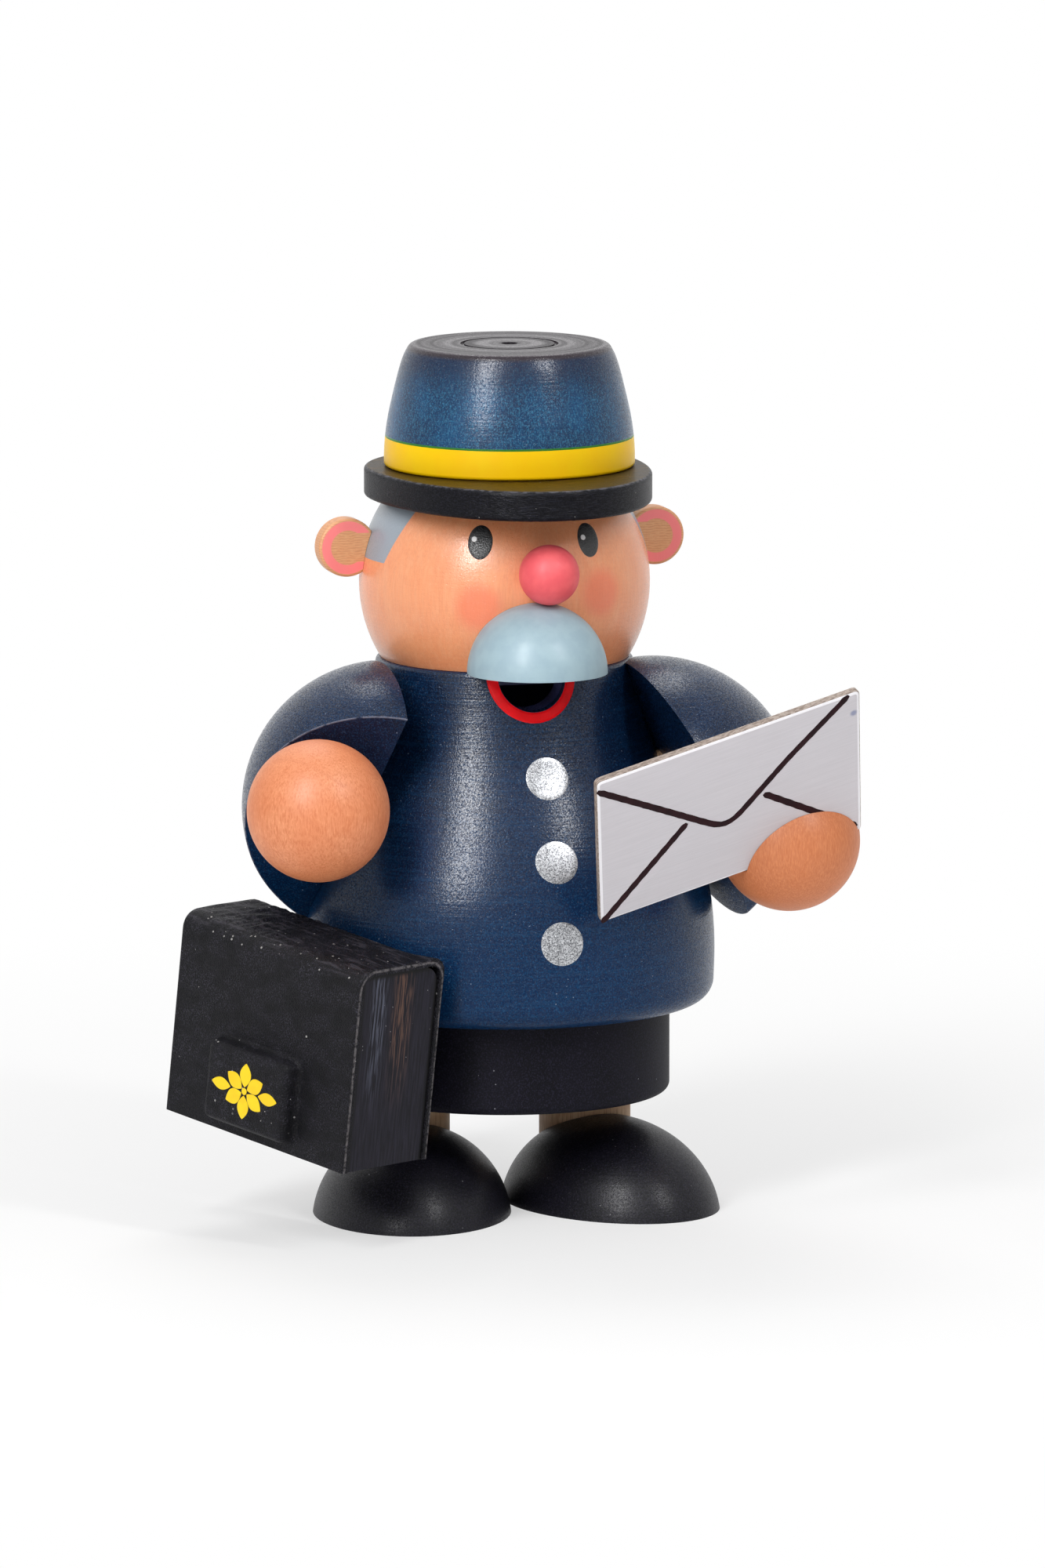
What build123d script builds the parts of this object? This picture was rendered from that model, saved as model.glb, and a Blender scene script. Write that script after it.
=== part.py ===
from build123d import *
from math import cos, hypot, radians, sin
import os

os.makedirs("parts", exist_ok=True)

# Frame: the origin is on the ground under the axis the jacket was turned on.
# +Z is up, the figure faces -Y and its left hand is on the +X side. Millimetres, degrees.

# Fits, the same wherever they are used
glue_film = 0.05
running_play = 0.1
cut_overrun = 1.0
quarter_turn_angle = 90.0


def heading(turn, rise):
    """Unit vector that starts straight ahead (-Y), turns towards +X by turn and climbs by rise."""
    flat = cos(radians(rise))
    return Vector(sin(radians(turn)) * flat, -cos(radians(turn)) * flat, sin(radians(rise)))


# Shoes and legs: each shoe is the upper half of a turned egg, each leg a plain dowel
shoe_half_width = 17.4
shoe_toe_length = 24.5
shoe_heel_length = 22.5
shoe_height = 15.0
shoe_y = -3.7
shoe_gap = 0.3
toes_out = 15.0
leg_radius = 8.0
leg_x = 16.4
leg_y = 6.4
leg_length = 24.2
leg_foot_z = 4.0
leg_socket_depth = 8.0

egg_axis_z = shoe_height - shoe_half_width
sole_share = (1 - (egg_axis_z / shoe_half_width) ** 2) ** 0.5
sole_reach = hypot(shoe_half_width * cos(radians(toes_out)), shoe_heel_length * sin(radians(toes_out)))
shoe_x = shoe_gap / 2 + sole_reach * sole_share
leg_top_z = leg_foot_z + glue_film + leg_length

# Trousers: a turned disc with a spigot that the jacket sits on
trouser_radius = 28.7
trouser_height = 15.8
trouser_edge_round = 1.3
spigot_radius = 25.0
spigot_height = 6.0
spigot_chamfer = 0.6
trouser_bottom_z = leg_top_z + glue_film - leg_socket_depth
trouser_top_z = trouser_bottom_z + trouser_height
spigot_top_z = trouser_top_z + spigot_height

# Air holes drilled up behind the nail, between the legs
air_hole_radius = 1.75
air_hole_y = 15.0
air_hole_spacing = 8.0

# Cone plate and the nail it lies on
plate_radius = 11.0
plate_thickness = 0.6
nail_shank_radius = 1.0
nail_length = 10.0
nail_head_radius = 2.2
nail_head_thickness = 0.6
plate_z = spigot_top_z + running_play
plate_top_z = plate_z + plate_thickness
nail_head_z = plate_top_z + running_play
nail_point_z = nail_head_z - nail_length

# Jacket: one turned hollow shell. Shares of the belly radius and of the height give its outline.
belly_radius = 36.5
jacket_height = 60.2
hem_round = 3.8
collar_round = 0.8
outline_shares = (
    (0.992, 0.0),
    (0.997, 0.075),
    (1.0, 0.163),
    (0.992, 0.253),
    (0.973, 0.335),
    (0.899, 0.478),
    (0.815, 0.595),
    (0.737, 0.706),
    (0.672, 0.83),
    (0.622, 0.96),
    (0.608, 1.0),
)
chamber_radius = 17.0
jacket_roof_thickness = 3.0
jacket_bottom_z = trouser_top_z + running_play
jacket_top_z = jacket_bottom_z + jacket_height
chamber_top_z = jacket_top_z - jacket_roof_thickness
spigot_bore_radius = spigot_radius + running_play
spigot_bore_top_z = spigot_top_z + spigot_chamfer

# Smoke mouth: a hole drilled into the smoke chamber through the jacket's top front edge
mouth_radius = 5.9
mouth_x = -1.3
mouth_drop_height = 0.7
mouth_lap_depth = 2.0
mouth_z = jacket_top_z - mouth_drop_height

# Head: a turned ball with two flats, pinned to the jacket and to the hat
head_radius = 25.2
neck_flat_height = 13.05
hat_flat_height = 14.9
neck_dowel_radius = 4.0
neck_dowel_length = 13.0
head_bottom_z = jacket_top_z + glue_film
head_z = head_bottom_z + neck_flat_height
hat_z = head_z + hat_flat_height
neck_dowel_top_z = chamber_top_z + neck_dowel_length

# Face and ears: each sits in a shallow seat on the ball of the head
nose_radius = 5.2
nose_seat_depth = 2.01
nose_rise_angle = 9.53
nose_pin_radius = 1.6
nose_pin_length = 7.0
moustache_radius = 12.1
moustache_x = -1.4
moustache_ahead_distance = 0.3
moustache_gap = 0.6
ear_radius = 5.1
ear_thickness = 3.6
ear_edge_round = 0.5
ear_seat_depth = 1.8
ear_rise_angle = 13.18
ear_y = 3.0
nose_at = Vector(0, 0, head_z) + heading(0, nose_rise_angle) * (head_radius + nose_radius - nose_seat_depth)
moustache_at = Vector(
    moustache_x, -head_radius - moustache_ahead_distance, jacket_top_z + moustache_gap
)
ear_reach = head_radius + ear_radius - ear_seat_depth
ear_x = ear_reach * cos(radians(ear_rise_angle))
ear_z = head_z + ear_reach * sin(radians(ear_rise_angle))

# Hat: a flat brim with a peak in front and a domed crown, both a little off the head's axis
brim_x = 0.1
crown_x = 0.9
brim_thickness = 5.2
brim_radius = 24.4
peak_length = 35.6
brim_edge_round = 0.7
crown_radius = 21.7
crown_height = 21.1
crown_round = 0.6
crown_top_round = 1.2
crown_shares = (
    (1.0, 0.0),
    (0.991, 0.245),
    (0.966, 0.42),
    (0.927, 0.6),
    (0.882, 0.785),
    (0.832, 0.93),
    (0.79, 1.0),
)
hat_ring_radius = 8.5
hat_ring_width = 0.7
hat_ring_depth = 0.35
hat_dimple_radius = 1.4
hat_dowel_radius = 3.0
hat_dowel_head_depth = 8.0
hat_dowel_crown_depth = 7.0
crown_z = hat_z + brim_thickness + glue_film
crown_top_z = crown_z + crown_height

# Sleeves: a turned ball each, with one flat for the jacket and one for the cuff.
# Shoulders are placed from the jacket's axis and its top, pegs on the jacket's surface.
sleeve_radius = 25.3
right_flat_distance = 6.5
right_cuff_distance = 7.2
left_flat_distance = 5.29
left_cuff_distance = 17.37
right_shoulder_x = -23.5
right_shoulder_y = -9.4
right_shoulder_drop = 24.1
left_shoulder_x = 23.33
left_shoulder_y = -12.0
left_shoulder_drop = 24.95
right_flat_angles = (-85.2, 11.4)
right_cuff_angles = (-21.0, -27.4)
left_flat_angles = (94.1, 24.6)
left_cuff_angles = (32.0, -10.7)
sleeve_peg_radius = 2.0
sleeve_peg_length = 10.0
right_peg_share = 0.9425
right_peg_drop = 36.4
left_peg_share = 0.742
left_peg_drop = 18.4
left_peg_angle = 70.0

# Hands: ball beads with a flat on the cuff, placed aside and up from the cuff's middle, and a thin peg
hand_radius = 12.25
right_hand_flat_depth = 1.24
right_hand_aside = -9.94
right_hand_rise = 12.26
left_hand_flat_depth = 1.33
left_hand_aside = 3.68
left_hand_rise = 1.12
hand_peg_radius = 1.2
hand_peg_length = 12.0

# Envelope: thin board standing in a slot of the left hand
envelope_width = 49.8
envelope_height = 34.2
envelope_thickness = 1.3
envelope_facing_angles = (14.2, -31.9)
envelope_edge_angles = (94.4, 15.95)
envelope_ahead_distance = 4.75
envelope_rise_height = 2.1
envelope_aside_distance = 13.6
slot_play = 0.05

# Bag: a wooden block under a leather cover, with a pocket on its outer face
bag_length = 44.0
bag_height = 35.8
bag_thickness = 20.4
bag_turn_angle = 29.2
bag_dip_angle = 7.5
bag_slide_length = -1.8
bag_drop_height = 0.9
leather_thickness = 1.2
bag_outer_round = 3.2
bag_inner_round = 4.6
core_inset = 0.4
pocket_length = 19.8
pocket_height = 14.2
pocket_thickness = 2.9
pocket_round = 1.2
pocket_rear_gap = 11.7
pocket_bottom_gap = 2.1
bag_peg_radius = 2.0
bag_peg_length = 13.0
bag_peg_rise_height = 7.8

# Shoes, right one mirrored from the left
toe_heading = heading(toes_out, 0)
egg_plane = Plane(origin=(shoe_x, shoe_y, egg_axis_z), x_dir=toe_heading, z_dir=(0, 0, 1))
with BuildPart() as shoe_left:
    with BuildSketch(egg_plane):
        with BuildLine():
            EllipticalCenterArc(
                (0, 0), shoe_toe_length, shoe_half_width, start_angle=0, arc_size=quarter_turn_angle
            )
            EllipticalCenterArc(
                (0, 0),
                shoe_heel_length,
                shoe_half_width,
                start_angle=quarter_turn_angle,
                arc_size=quarter_turn_angle,
            )
            Line((-shoe_heel_length, 0), (shoe_toe_length, 0))
        make_face()
    revolve(axis=Axis(egg_plane.origin, toe_heading))
    split(bisect_by=Plane.XY, keep=Keep.TOP)
    with BuildSketch(Plane.XY.offset(leg_foot_z)):
        with Locations((leg_x, leg_y)):
            Circle(leg_radius + glue_film)
    extrude(amount=shoe_height - leg_foot_z + cut_overrun, mode=Mode.SUBTRACT)
shoe_left.part.label = "shoe_left"
export_step(shoe_left.part, "parts/shoe_left.step")

with BuildPart() as shoe_right:
    mirror(shoe_left.part, about=Plane.YZ)
shoe_right.part.label = "shoe_right"
export_step(shoe_right.part, "parts/shoe_right.step")

with BuildPart() as leg_left:
    with BuildSketch(Plane.XY.offset(leg_foot_z + glue_film)):
        with Locations((leg_x, leg_y)):
            Circle(leg_radius)
    extrude(amount=leg_length)
leg_left.part.label = "leg_left"
export_step(leg_left.part, "parts/leg_left.step")

with BuildPart() as leg_right:
    mirror(leg_left.part, about=Plane.YZ)
leg_right.part.label = "leg_right"
export_step(leg_right.part, "parts/leg_right.step")

# Trousers: disc and spigot, two leg sockets, a nail hole and three air holes
with BuildPart() as trousers:
    with BuildSketch(Plane.XY.offset(trouser_bottom_z)):
        Circle(trouser_radius)
    extrude(amount=trouser_top_z - trouser_bottom_z)
    fillet(trousers.edges().group_by(Axis.Z)[0], trouser_edge_round)
    with BuildSketch(Plane.XY.offset(trouser_top_z)):
        Circle(spigot_radius)
    extrude(amount=spigot_height)
    chamfer(trousers.edges().group_by(Axis.Z)[-1], spigot_chamfer)
    with BuildSketch(Plane.XY.offset(trouser_bottom_z)):
        with Locations((leg_x, leg_y), (-leg_x, leg_y)):
            Circle(leg_radius + glue_film)
    extrude(amount=leg_socket_depth, mode=Mode.SUBTRACT)
    with BuildSketch(Plane.XY.offset(nail_point_z)):
        Circle(nail_shank_radius)
    extrude(amount=nail_length, mode=Mode.SUBTRACT)
    with BuildSketch(Plane.XY.offset(trouser_bottom_z)):
        with Locations((0, air_hole_y)):
            with GridLocations(air_hole_spacing, air_hole_spacing, 3, 1):
                Circle(air_hole_radius)
    extrude(amount=spigot_top_z - trouser_bottom_z, mode=Mode.SUBTRACT)
trousers.part.label = "trousers"
export_step(trousers.part, "parts/trousers.step")

with BuildPart() as plate_nail:
    with BuildSketch(Plane.XY.offset(nail_point_z)):
        Circle(nail_shank_radius)
    extrude(amount=nail_length)
    with BuildSketch(Plane.XY.offset(nail_head_z)):
        Circle(nail_head_radius)
    extrude(amount=nail_head_thickness)
plate_nail.part.label = "plate_nail"
export_step(plate_nail.part, "parts/plate_nail.step")

with BuildPart() as cone_plate:
    with BuildSketch(Plane.XY.offset(plate_z)):
        Circle(plate_radius)
        Circle(nail_shank_radius + running_play, mode=Mode.SUBTRACT)
    extrude(amount=plate_thickness)
cone_plate.part.label = "cone_plate"
export_step(cone_plate.part, "parts/cone_plate.step")


def jacket_outline(grow):
    """Points of the jacket's outer curve in the XZ plane, pushed outwards by grow."""
    return [
        (belly_radius * radius_share + grow, jacket_bottom_z + jacket_height * height_share)
        for radius_share, height_share in outline_shares
    ]


# The jacket's outer form, a film larger, cuts every piece that is fitted to it
with BuildPart() as jacket_form:
    with BuildSketch(Plane.XZ):
        with BuildLine():
            form_curve = Spline(*jacket_outline(glue_film))
            Polyline(form_curve @ 1, (0, jacket_top_z), (0, jacket_bottom_z), form_curve @ 0)
        make_face()
    revolve(axis=Axis.Z)

# Jacket: turned outline, spigot bore, smoke chamber, mouth, dowel and peg holes
right_flat = heading(*right_flat_angles)
left_flat = heading(*left_flat_angles)
right_peg_reach = belly_radius * right_peg_share
left_peg_reach = belly_radius * left_peg_share
right_peg_at = heading(right_flat_angles[0], 0) * right_peg_reach
left_peg_at = heading(left_peg_angle, 0) * left_peg_reach
right_peg_at += Vector(0, 0, jacket_top_z - right_peg_drop)
left_peg_at += Vector(0, 0, jacket_top_z - left_peg_drop)
right_peg_plane = Plane(origin=right_peg_at, z_dir=right_flat)
left_peg_plane = Plane(origin=left_peg_at, z_dir=left_flat)
bag_out = heading(bag_turn_angle - quarter_turn_angle, 0)
bag_peg_at = bag_out * belly_radius + Vector(0, 0, jacket_bottom_z + bag_peg_rise_height)
bag_peg_plane = Plane(origin=bag_peg_at, z_dir=bag_out)
mouth_plane = Plane(origin=(mouth_x, 0, mouth_z), x_dir=(1, 0, 0), z_dir=(0, -1, 0))

with BuildPart() as jacket:
    with BuildSketch(Plane.XZ):
        with BuildLine():
            jacket_curve = Spline(*jacket_outline(0))
            Polyline(jacket_curve @ 1, (0, jacket_top_z), (0, jacket_bottom_z), jacket_curve @ 0)
        make_face()
    revolve(axis=Axis.Z)
    fillet(jacket.edges().filter_by(GeomType.CIRCLE).group_by(Axis.Z)[0], hem_round)
    fillet(jacket.edges().filter_by(GeomType.CIRCLE).group_by(Axis.Z)[-1], collar_round)
    with BuildSketch(Plane.XY.offset(jacket_bottom_z)):
        Circle(spigot_bore_radius)
    extrude(amount=spigot_bore_top_z - jacket_bottom_z, mode=Mode.SUBTRACT)
    with BuildSketch(Plane.XY.offset(jacket_bottom_z)):
        Circle(chamber_radius)
    extrude(amount=chamber_top_z - jacket_bottom_z, mode=Mode.SUBTRACT)
    with BuildSketch(mouth_plane.offset(chamber_radius - mouth_lap_depth)):
        Circle(mouth_radius)
    extrude(amount=belly_radius - chamber_radius, mode=Mode.SUBTRACT)
    with BuildSketch(Plane.XY.offset(chamber_top_z)):
        Circle(neck_dowel_radius)
    extrude(amount=neck_dowel_length, mode=Mode.SUBTRACT)
    with BuildSketch(right_peg_plane, left_peg_plane):
        Circle(sleeve_peg_radius + glue_film)
    extrude(amount=sleeve_peg_length / 2 + glue_film, both=True, mode=Mode.SUBTRACT)
    with BuildSketch(bag_peg_plane):
        Circle(bag_peg_radius + glue_film)
    extrude(amount=bag_peg_length / 2 + glue_film, both=True, mode=Mode.SUBTRACT)
jacket.part.label = "jacket"
export_step(jacket.part, "parts/jacket.step")

with BuildPart() as neck_dowel:
    with BuildSketch(Plane.XY.offset(chamber_top_z)):
        Circle(neck_dowel_radius)
    extrude(amount=neck_dowel_length)
neck_dowel.part.label = "neck_dowel"
export_step(neck_dowel.part, "parts/neck_dowel.step")

# Head: ball, two flats, seats for the neck dowel, the hat dowel and the nose
nose_pin_plane = Plane(origin=nose_at, z_dir=(0, 1, 0))
with BuildPart() as head:
    with Locations((0, 0, head_z)):
        Sphere(head_radius)
    split(bisect_by=Plane.XY.offset(head_bottom_z), keep=Keep.TOP)
    split(bisect_by=Plane.XY.offset(hat_z - glue_film), keep=Keep.BOTTOM)
    with BuildSketch(Plane.XY.offset(head_bottom_z)):
        Circle(neck_dowel_radius + glue_film)
    extrude(amount=neck_dowel_top_z + glue_film - head_bottom_z, mode=Mode.SUBTRACT)
    with BuildSketch(Plane.XY.offset(hat_z - hat_dowel_head_depth - glue_film)):
        with Locations((crown_x, 0)):
            Circle(hat_dowel_radius + glue_film)
    extrude(amount=hat_dowel_head_depth + glue_film, mode=Mode.SUBTRACT)
    with Locations(nose_at):
        Sphere(nose_radius + glue_film, mode=Mode.SUBTRACT)
    with BuildSketch(nose_pin_plane):
        Circle(nose_pin_radius + glue_film)
    extrude(amount=nose_radius + nose_pin_length + glue_film, mode=Mode.SUBTRACT)
head.part.label = "head"
export_step(head.part, "parts/head.step")

with BuildPart() as nose:
    with Locations(nose_at):
        Sphere(nose_radius)
    with BuildSketch(nose_pin_plane):
        Circle(nose_pin_radius)
    extrude(amount=nose_radius + nose_pin_length)
nose.part.label = "nose"
export_step(nose.part, "parts/nose.step")

# Moustache: a quarter of a ball, flat side down, hollowed to the head behind
with BuildPart() as moustache:
    with Locations(moustache_at):
        Sphere(moustache_radius)
    split(bisect_by=Plane.XY.offset(moustache_at.Z), keep=Keep.TOP)
    with Locations((0, 0, head_z)):
        Sphere(head_radius + glue_film, mode=Mode.SUBTRACT)
    with Locations(nose_at):
        Sphere(nose_radius + glue_film, mode=Mode.SUBTRACT)
moustache.part.label = "moustache"
export_step(moustache.part, "parts/moustache.step")

# Ears: discs across the sides of the head, hollowed to it
with BuildPart() as ear_left:
    with BuildSketch(Plane.XZ.offset(-ear_y - ear_thickness / 2)):
        with Locations((ear_x, ear_z)):
            Circle(ear_radius)
    extrude(amount=ear_thickness)
    fillet(ear_left.edges().filter_by(GeomType.CIRCLE), ear_edge_round)
    with Locations((0, 0, head_z)):
        Sphere(head_radius + glue_film, mode=Mode.SUBTRACT)
ear_left.part.label = "ear_left"
export_step(ear_left.part, "parts/ear_left.step")

with BuildPart() as ear_right:
    mirror(ear_left.part, about=Plane.YZ)
ear_right.part.label = "ear_right"
export_step(ear_right.part, "parts/ear_right.step")

# Hat brim: a round back and a longer, half-elliptical peak
with BuildPart() as hat_brim:
    with BuildSketch(Plane.XY.offset(hat_z)):
        with Locations((brim_x, 0)):
            Ellipse(brim_radius, peak_length)
            Rectangle(2 * brim_radius, peak_length, align=(Align.CENTER, Align.MIN), mode=Mode.SUBTRACT)
            Circle(brim_radius)
    extrude(amount=brim_thickness)
    fillet(hat_brim.edges().group_by(Axis.Z)[0], brim_edge_round)
    fillet(hat_brim.edges().group_by(Axis.Z)[-1], brim_edge_round)
    with BuildSketch(Plane.XY.offset(hat_z)):
        with Locations((crown_x, 0)):
            Circle(hat_dowel_radius + glue_film)
    extrude(amount=brim_thickness, mode=Mode.SUBTRACT)
hat_brim.part.label = "hat_brim"
export_step(hat_brim.part, "parts/hat_brim.step")

# Hat crown: turned dome with a ring and a dimple left by the lathe on its flat top
hat_axis = Axis((crown_x, 0, 0), (0, 0, 1))
crown_curve_points = [
    (crown_x + crown_radius * radius_share, crown_z + crown_height * height_share)
    for radius_share, height_share in crown_shares
]
with BuildPart() as hat_crown:
    with BuildSketch(Plane.XZ):
        with BuildLine():
            crown_curve = Spline(*crown_curve_points)
            Polyline(crown_curve @ 1, (crown_x, crown_top_z), (crown_x, crown_z), crown_curve @ 0)
        make_face()
    revolve(axis=hat_axis)
    fillet(hat_crown.edges().filter_by(GeomType.CIRCLE).group_by(Axis.Z)[0], crown_round)
    fillet(hat_crown.edges().filter_by(GeomType.CIRCLE).group_by(Axis.Z)[-1], crown_top_round)
    with BuildSketch(Plane.XY.offset(crown_top_z)):
        with Locations((crown_x, 0)):
            Circle(hat_ring_radius)
            Circle(hat_ring_radius - hat_ring_width, mode=Mode.SUBTRACT)
            Circle(hat_dimple_radius)
    extrude(amount=-hat_ring_depth, mode=Mode.SUBTRACT)
    with BuildSketch(Plane.XY.offset(crown_z)):
        with Locations((crown_x, 0)):
            Circle(hat_dowel_radius + glue_film)
    extrude(amount=hat_dowel_crown_depth + glue_film, mode=Mode.SUBTRACT)
hat_crown.part.label = "hat_crown"
export_step(hat_crown.part, "parts/hat_crown.step")

with BuildPart() as hat_dowel:
    with BuildSketch(Plane.XY.offset(hat_z - hat_dowel_head_depth)):
        with Locations((crown_x, 0)):
            Circle(hat_dowel_radius)
    extrude(amount=crown_z + hat_dowel_crown_depth - hat_z + hat_dowel_head_depth)
hat_dowel.part.label = "hat_dowel"
export_step(hat_dowel.part, "parts/hat_dowel.step")

# Sleeves, hands and their pegs
right_shoulder = Vector(right_shoulder_x, right_shoulder_y, jacket_top_z - right_shoulder_drop)
left_shoulder = Vector(left_shoulder_x, left_shoulder_y, jacket_top_z - left_shoulder_drop)
right_flat_plane = Plane(origin=right_shoulder + right_flat * right_flat_distance, z_dir=right_flat)
left_flat_plane = Plane(origin=left_shoulder + left_flat * left_flat_distance, z_dir=left_flat)
right_cuff_plane = Plane(
    origin=right_shoulder + heading(*right_cuff_angles) * right_cuff_distance,
    x_dir=heading(right_cuff_angles[0] + quarter_turn_angle, 0),
    z_dir=heading(*right_cuff_angles),
)
left_cuff_plane = Plane(
    origin=left_shoulder + heading(*left_cuff_angles) * left_cuff_distance,
    x_dir=heading(left_cuff_angles[0] + quarter_turn_angle, 0),
    z_dir=heading(*left_cuff_angles),
)
right_hand_peg_plane = Plane(
    origin=right_cuff_plane.from_local_coords((right_hand_aside, right_hand_rise, 0)),
    z_dir=right_cuff_plane.z_dir,
)
left_hand_peg_plane = Plane(
    origin=left_cuff_plane.from_local_coords((left_hand_aside, left_hand_rise, 0)),
    z_dir=left_cuff_plane.z_dir,
)
right_hand = right_hand_peg_plane.offset(hand_radius - right_hand_flat_depth).origin
left_hand = left_hand_peg_plane.offset(hand_radius - left_hand_flat_depth).origin

with BuildPart() as sleeve_right:
    with Locations(right_shoulder):
        Sphere(sleeve_radius)
    split(bisect_by=right_cuff_plane, keep=Keep.BOTTOM)
    split(bisect_by=right_flat_plane, keep=Keep.TOP)
    add(jacket_form.part, mode=Mode.SUBTRACT)
    with BuildSketch(right_peg_plane):
        Circle(sleeve_peg_radius + glue_film)
    extrude(amount=sleeve_peg_length / 2 + glue_film, both=True, mode=Mode.SUBTRACT)
    with BuildSketch(right_hand_peg_plane):
        Circle(hand_peg_radius + glue_film)
    extrude(amount=-hand_peg_length / 2 - glue_film, mode=Mode.SUBTRACT)
sleeve_right.part.label = "sleeve_right"
export_step(sleeve_right.part, "parts/sleeve_right.step")

with BuildPart() as sleeve_left:
    with Locations(left_shoulder):
        Sphere(sleeve_radius)
    split(bisect_by=left_cuff_plane, keep=Keep.BOTTOM)
    split(bisect_by=left_flat_plane, keep=Keep.TOP)
    add(jacket_form.part, mode=Mode.SUBTRACT)
    with Locations((0, 0, head_z)):
        Sphere(head_radius + glue_film, mode=Mode.SUBTRACT)
    with BuildSketch(left_peg_plane):
        Circle(sleeve_peg_radius + glue_film)
    extrude(amount=sleeve_peg_length / 2 + glue_film, both=True, mode=Mode.SUBTRACT)
    with BuildSketch(left_hand_peg_plane):
        Circle(hand_peg_radius + glue_film)
    extrude(amount=-hand_peg_length / 2 - glue_film, mode=Mode.SUBTRACT)
sleeve_left.part.label = "sleeve_left"
export_step(sleeve_left.part, "parts/sleeve_left.step")

with BuildPart() as sleeve_peg_right:
    with BuildSketch(right_peg_plane):
        Circle(sleeve_peg_radius)
    extrude(amount=sleeve_peg_length / 2, both=True)
sleeve_peg_right.part.label = "sleeve_peg_right"
export_step(sleeve_peg_right.part, "parts/sleeve_peg_right.step")

with BuildPart() as sleeve_peg_left:
    with BuildSketch(left_peg_plane):
        Circle(sleeve_peg_radius)
    extrude(amount=sleeve_peg_length / 2, both=True)
sleeve_peg_left.part.label = "sleeve_peg_left"
export_step(sleeve_peg_left.part, "parts/sleeve_peg_left.step")

with BuildPart() as hand_right:
    with Locations(right_hand):
        Sphere(hand_radius)
    split(bisect_by=right_cuff_plane.offset(glue_film), keep=Keep.TOP)
    with BuildSketch(right_hand_peg_plane):
        Circle(hand_peg_radius + glue_film)
    extrude(amount=hand_peg_length / 2 + glue_film, mode=Mode.SUBTRACT)
hand_right.part.label = "hand_right"
export_step(hand_right.part, "parts/hand_right.step")

# The envelope's plane starts at the middle of its lower edge
envelope_normal = heading(*envelope_facing_angles)
envelope_edge = heading(*envelope_edge_angles)
envelope_rise = envelope_normal.cross(envelope_edge)
envelope_foot = (
    left_hand
    + envelope_normal * envelope_ahead_distance
    + envelope_rise * envelope_rise_height
    - envelope_edge * envelope_aside_distance
)
envelope_plane = Plane(origin=envelope_foot, x_dir=envelope_edge, z_dir=envelope_normal)

with BuildPart() as hand_left:
    with Locations(left_hand):
        Sphere(hand_radius)
    split(bisect_by=left_cuff_plane.offset(glue_film), keep=Keep.TOP)
    with BuildSketch(left_hand_peg_plane):
        Circle(hand_peg_radius + glue_film)
    extrude(amount=hand_peg_length / 2 + glue_film, mode=Mode.SUBTRACT)
    with BuildSketch(envelope_plane):
        with Locations((0, -slot_play)):
            Rectangle(2 * envelope_width, envelope_height, align=(Align.CENTER, Align.MIN))
    extrude(amount=envelope_thickness / 2 + slot_play, both=True, mode=Mode.SUBTRACT)
hand_left.part.label = "hand_left"
export_step(hand_left.part, "parts/hand_left.step")

with BuildPart() as hand_peg_right:
    with BuildSketch(right_hand_peg_plane):
        Circle(hand_peg_radius)
    extrude(amount=hand_peg_length / 2, both=True)
hand_peg_right.part.label = "hand_peg_right"
export_step(hand_peg_right.part, "parts/hand_peg_right.step")

with BuildPart() as hand_peg_left:
    with BuildSketch(left_hand_peg_plane):
        Circle(hand_peg_radius)
    extrude(amount=hand_peg_length / 2, both=True)
hand_peg_left.part.label = "hand_peg_left"
export_step(hand_peg_left.part, "parts/hand_peg_left.step")

with BuildPart() as envelope:
    with BuildSketch(envelope_plane):
        Rectangle(envelope_width, envelope_height, align=(Align.CENTER, Align.MIN))
    extrude(amount=envelope_thickness / 2, both=True)
envelope.part.label = "envelope"
export_step(envelope.part, "parts/envelope.step")

# Bag: profiles stand across its length, starting at the rear end, x towards the jacket
bag_length_heading = heading(bag_turn_angle, -bag_dip_angle)
bag_middle = (
    bag_out * (belly_radius + glue_film + bag_thickness / 2)
    + heading(bag_turn_angle, 0) * bag_slide_length
    + Vector(0, 0, jacket_bottom_z - bag_drop_height)
)
bag_rear = Plane(
    origin=bag_middle - bag_length_heading * (bag_length / 2),
    x_dir=bag_out * -1,
    z_dir=bag_length_heading,
)
core_thickness = bag_thickness - 2 * (leather_thickness + glue_film)
core_height = bag_height - leather_thickness - glue_film

with BuildPart() as bag_core:
    with BuildSketch(bag_rear.offset(core_inset)) as core_profile:
        with Locations((0, -bag_height / 2)):
            Rectangle(core_thickness, core_height, align=(Align.CENTER, Align.MIN))
        fillet(
            core_profile.vertices().group_by(Axis.Y)[-1].sort_by(Axis.X)[0],
            bag_outer_round - leather_thickness,
        )
        fillet(
            core_profile.vertices().group_by(Axis.X)[-1].sort_by(Axis.Y)[-1],
            bag_inner_round - leather_thickness,
        )
    extrude(amount=bag_length - 2 * core_inset)
    with BuildSketch(bag_peg_plane):
        Circle(bag_peg_radius + glue_film)
    extrude(amount=bag_peg_length / 2 + glue_film, mode=Mode.SUBTRACT)
bag_core.part.label = "bag_core"
export_step(bag_core.part, "parts/bag_core.step")

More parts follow.
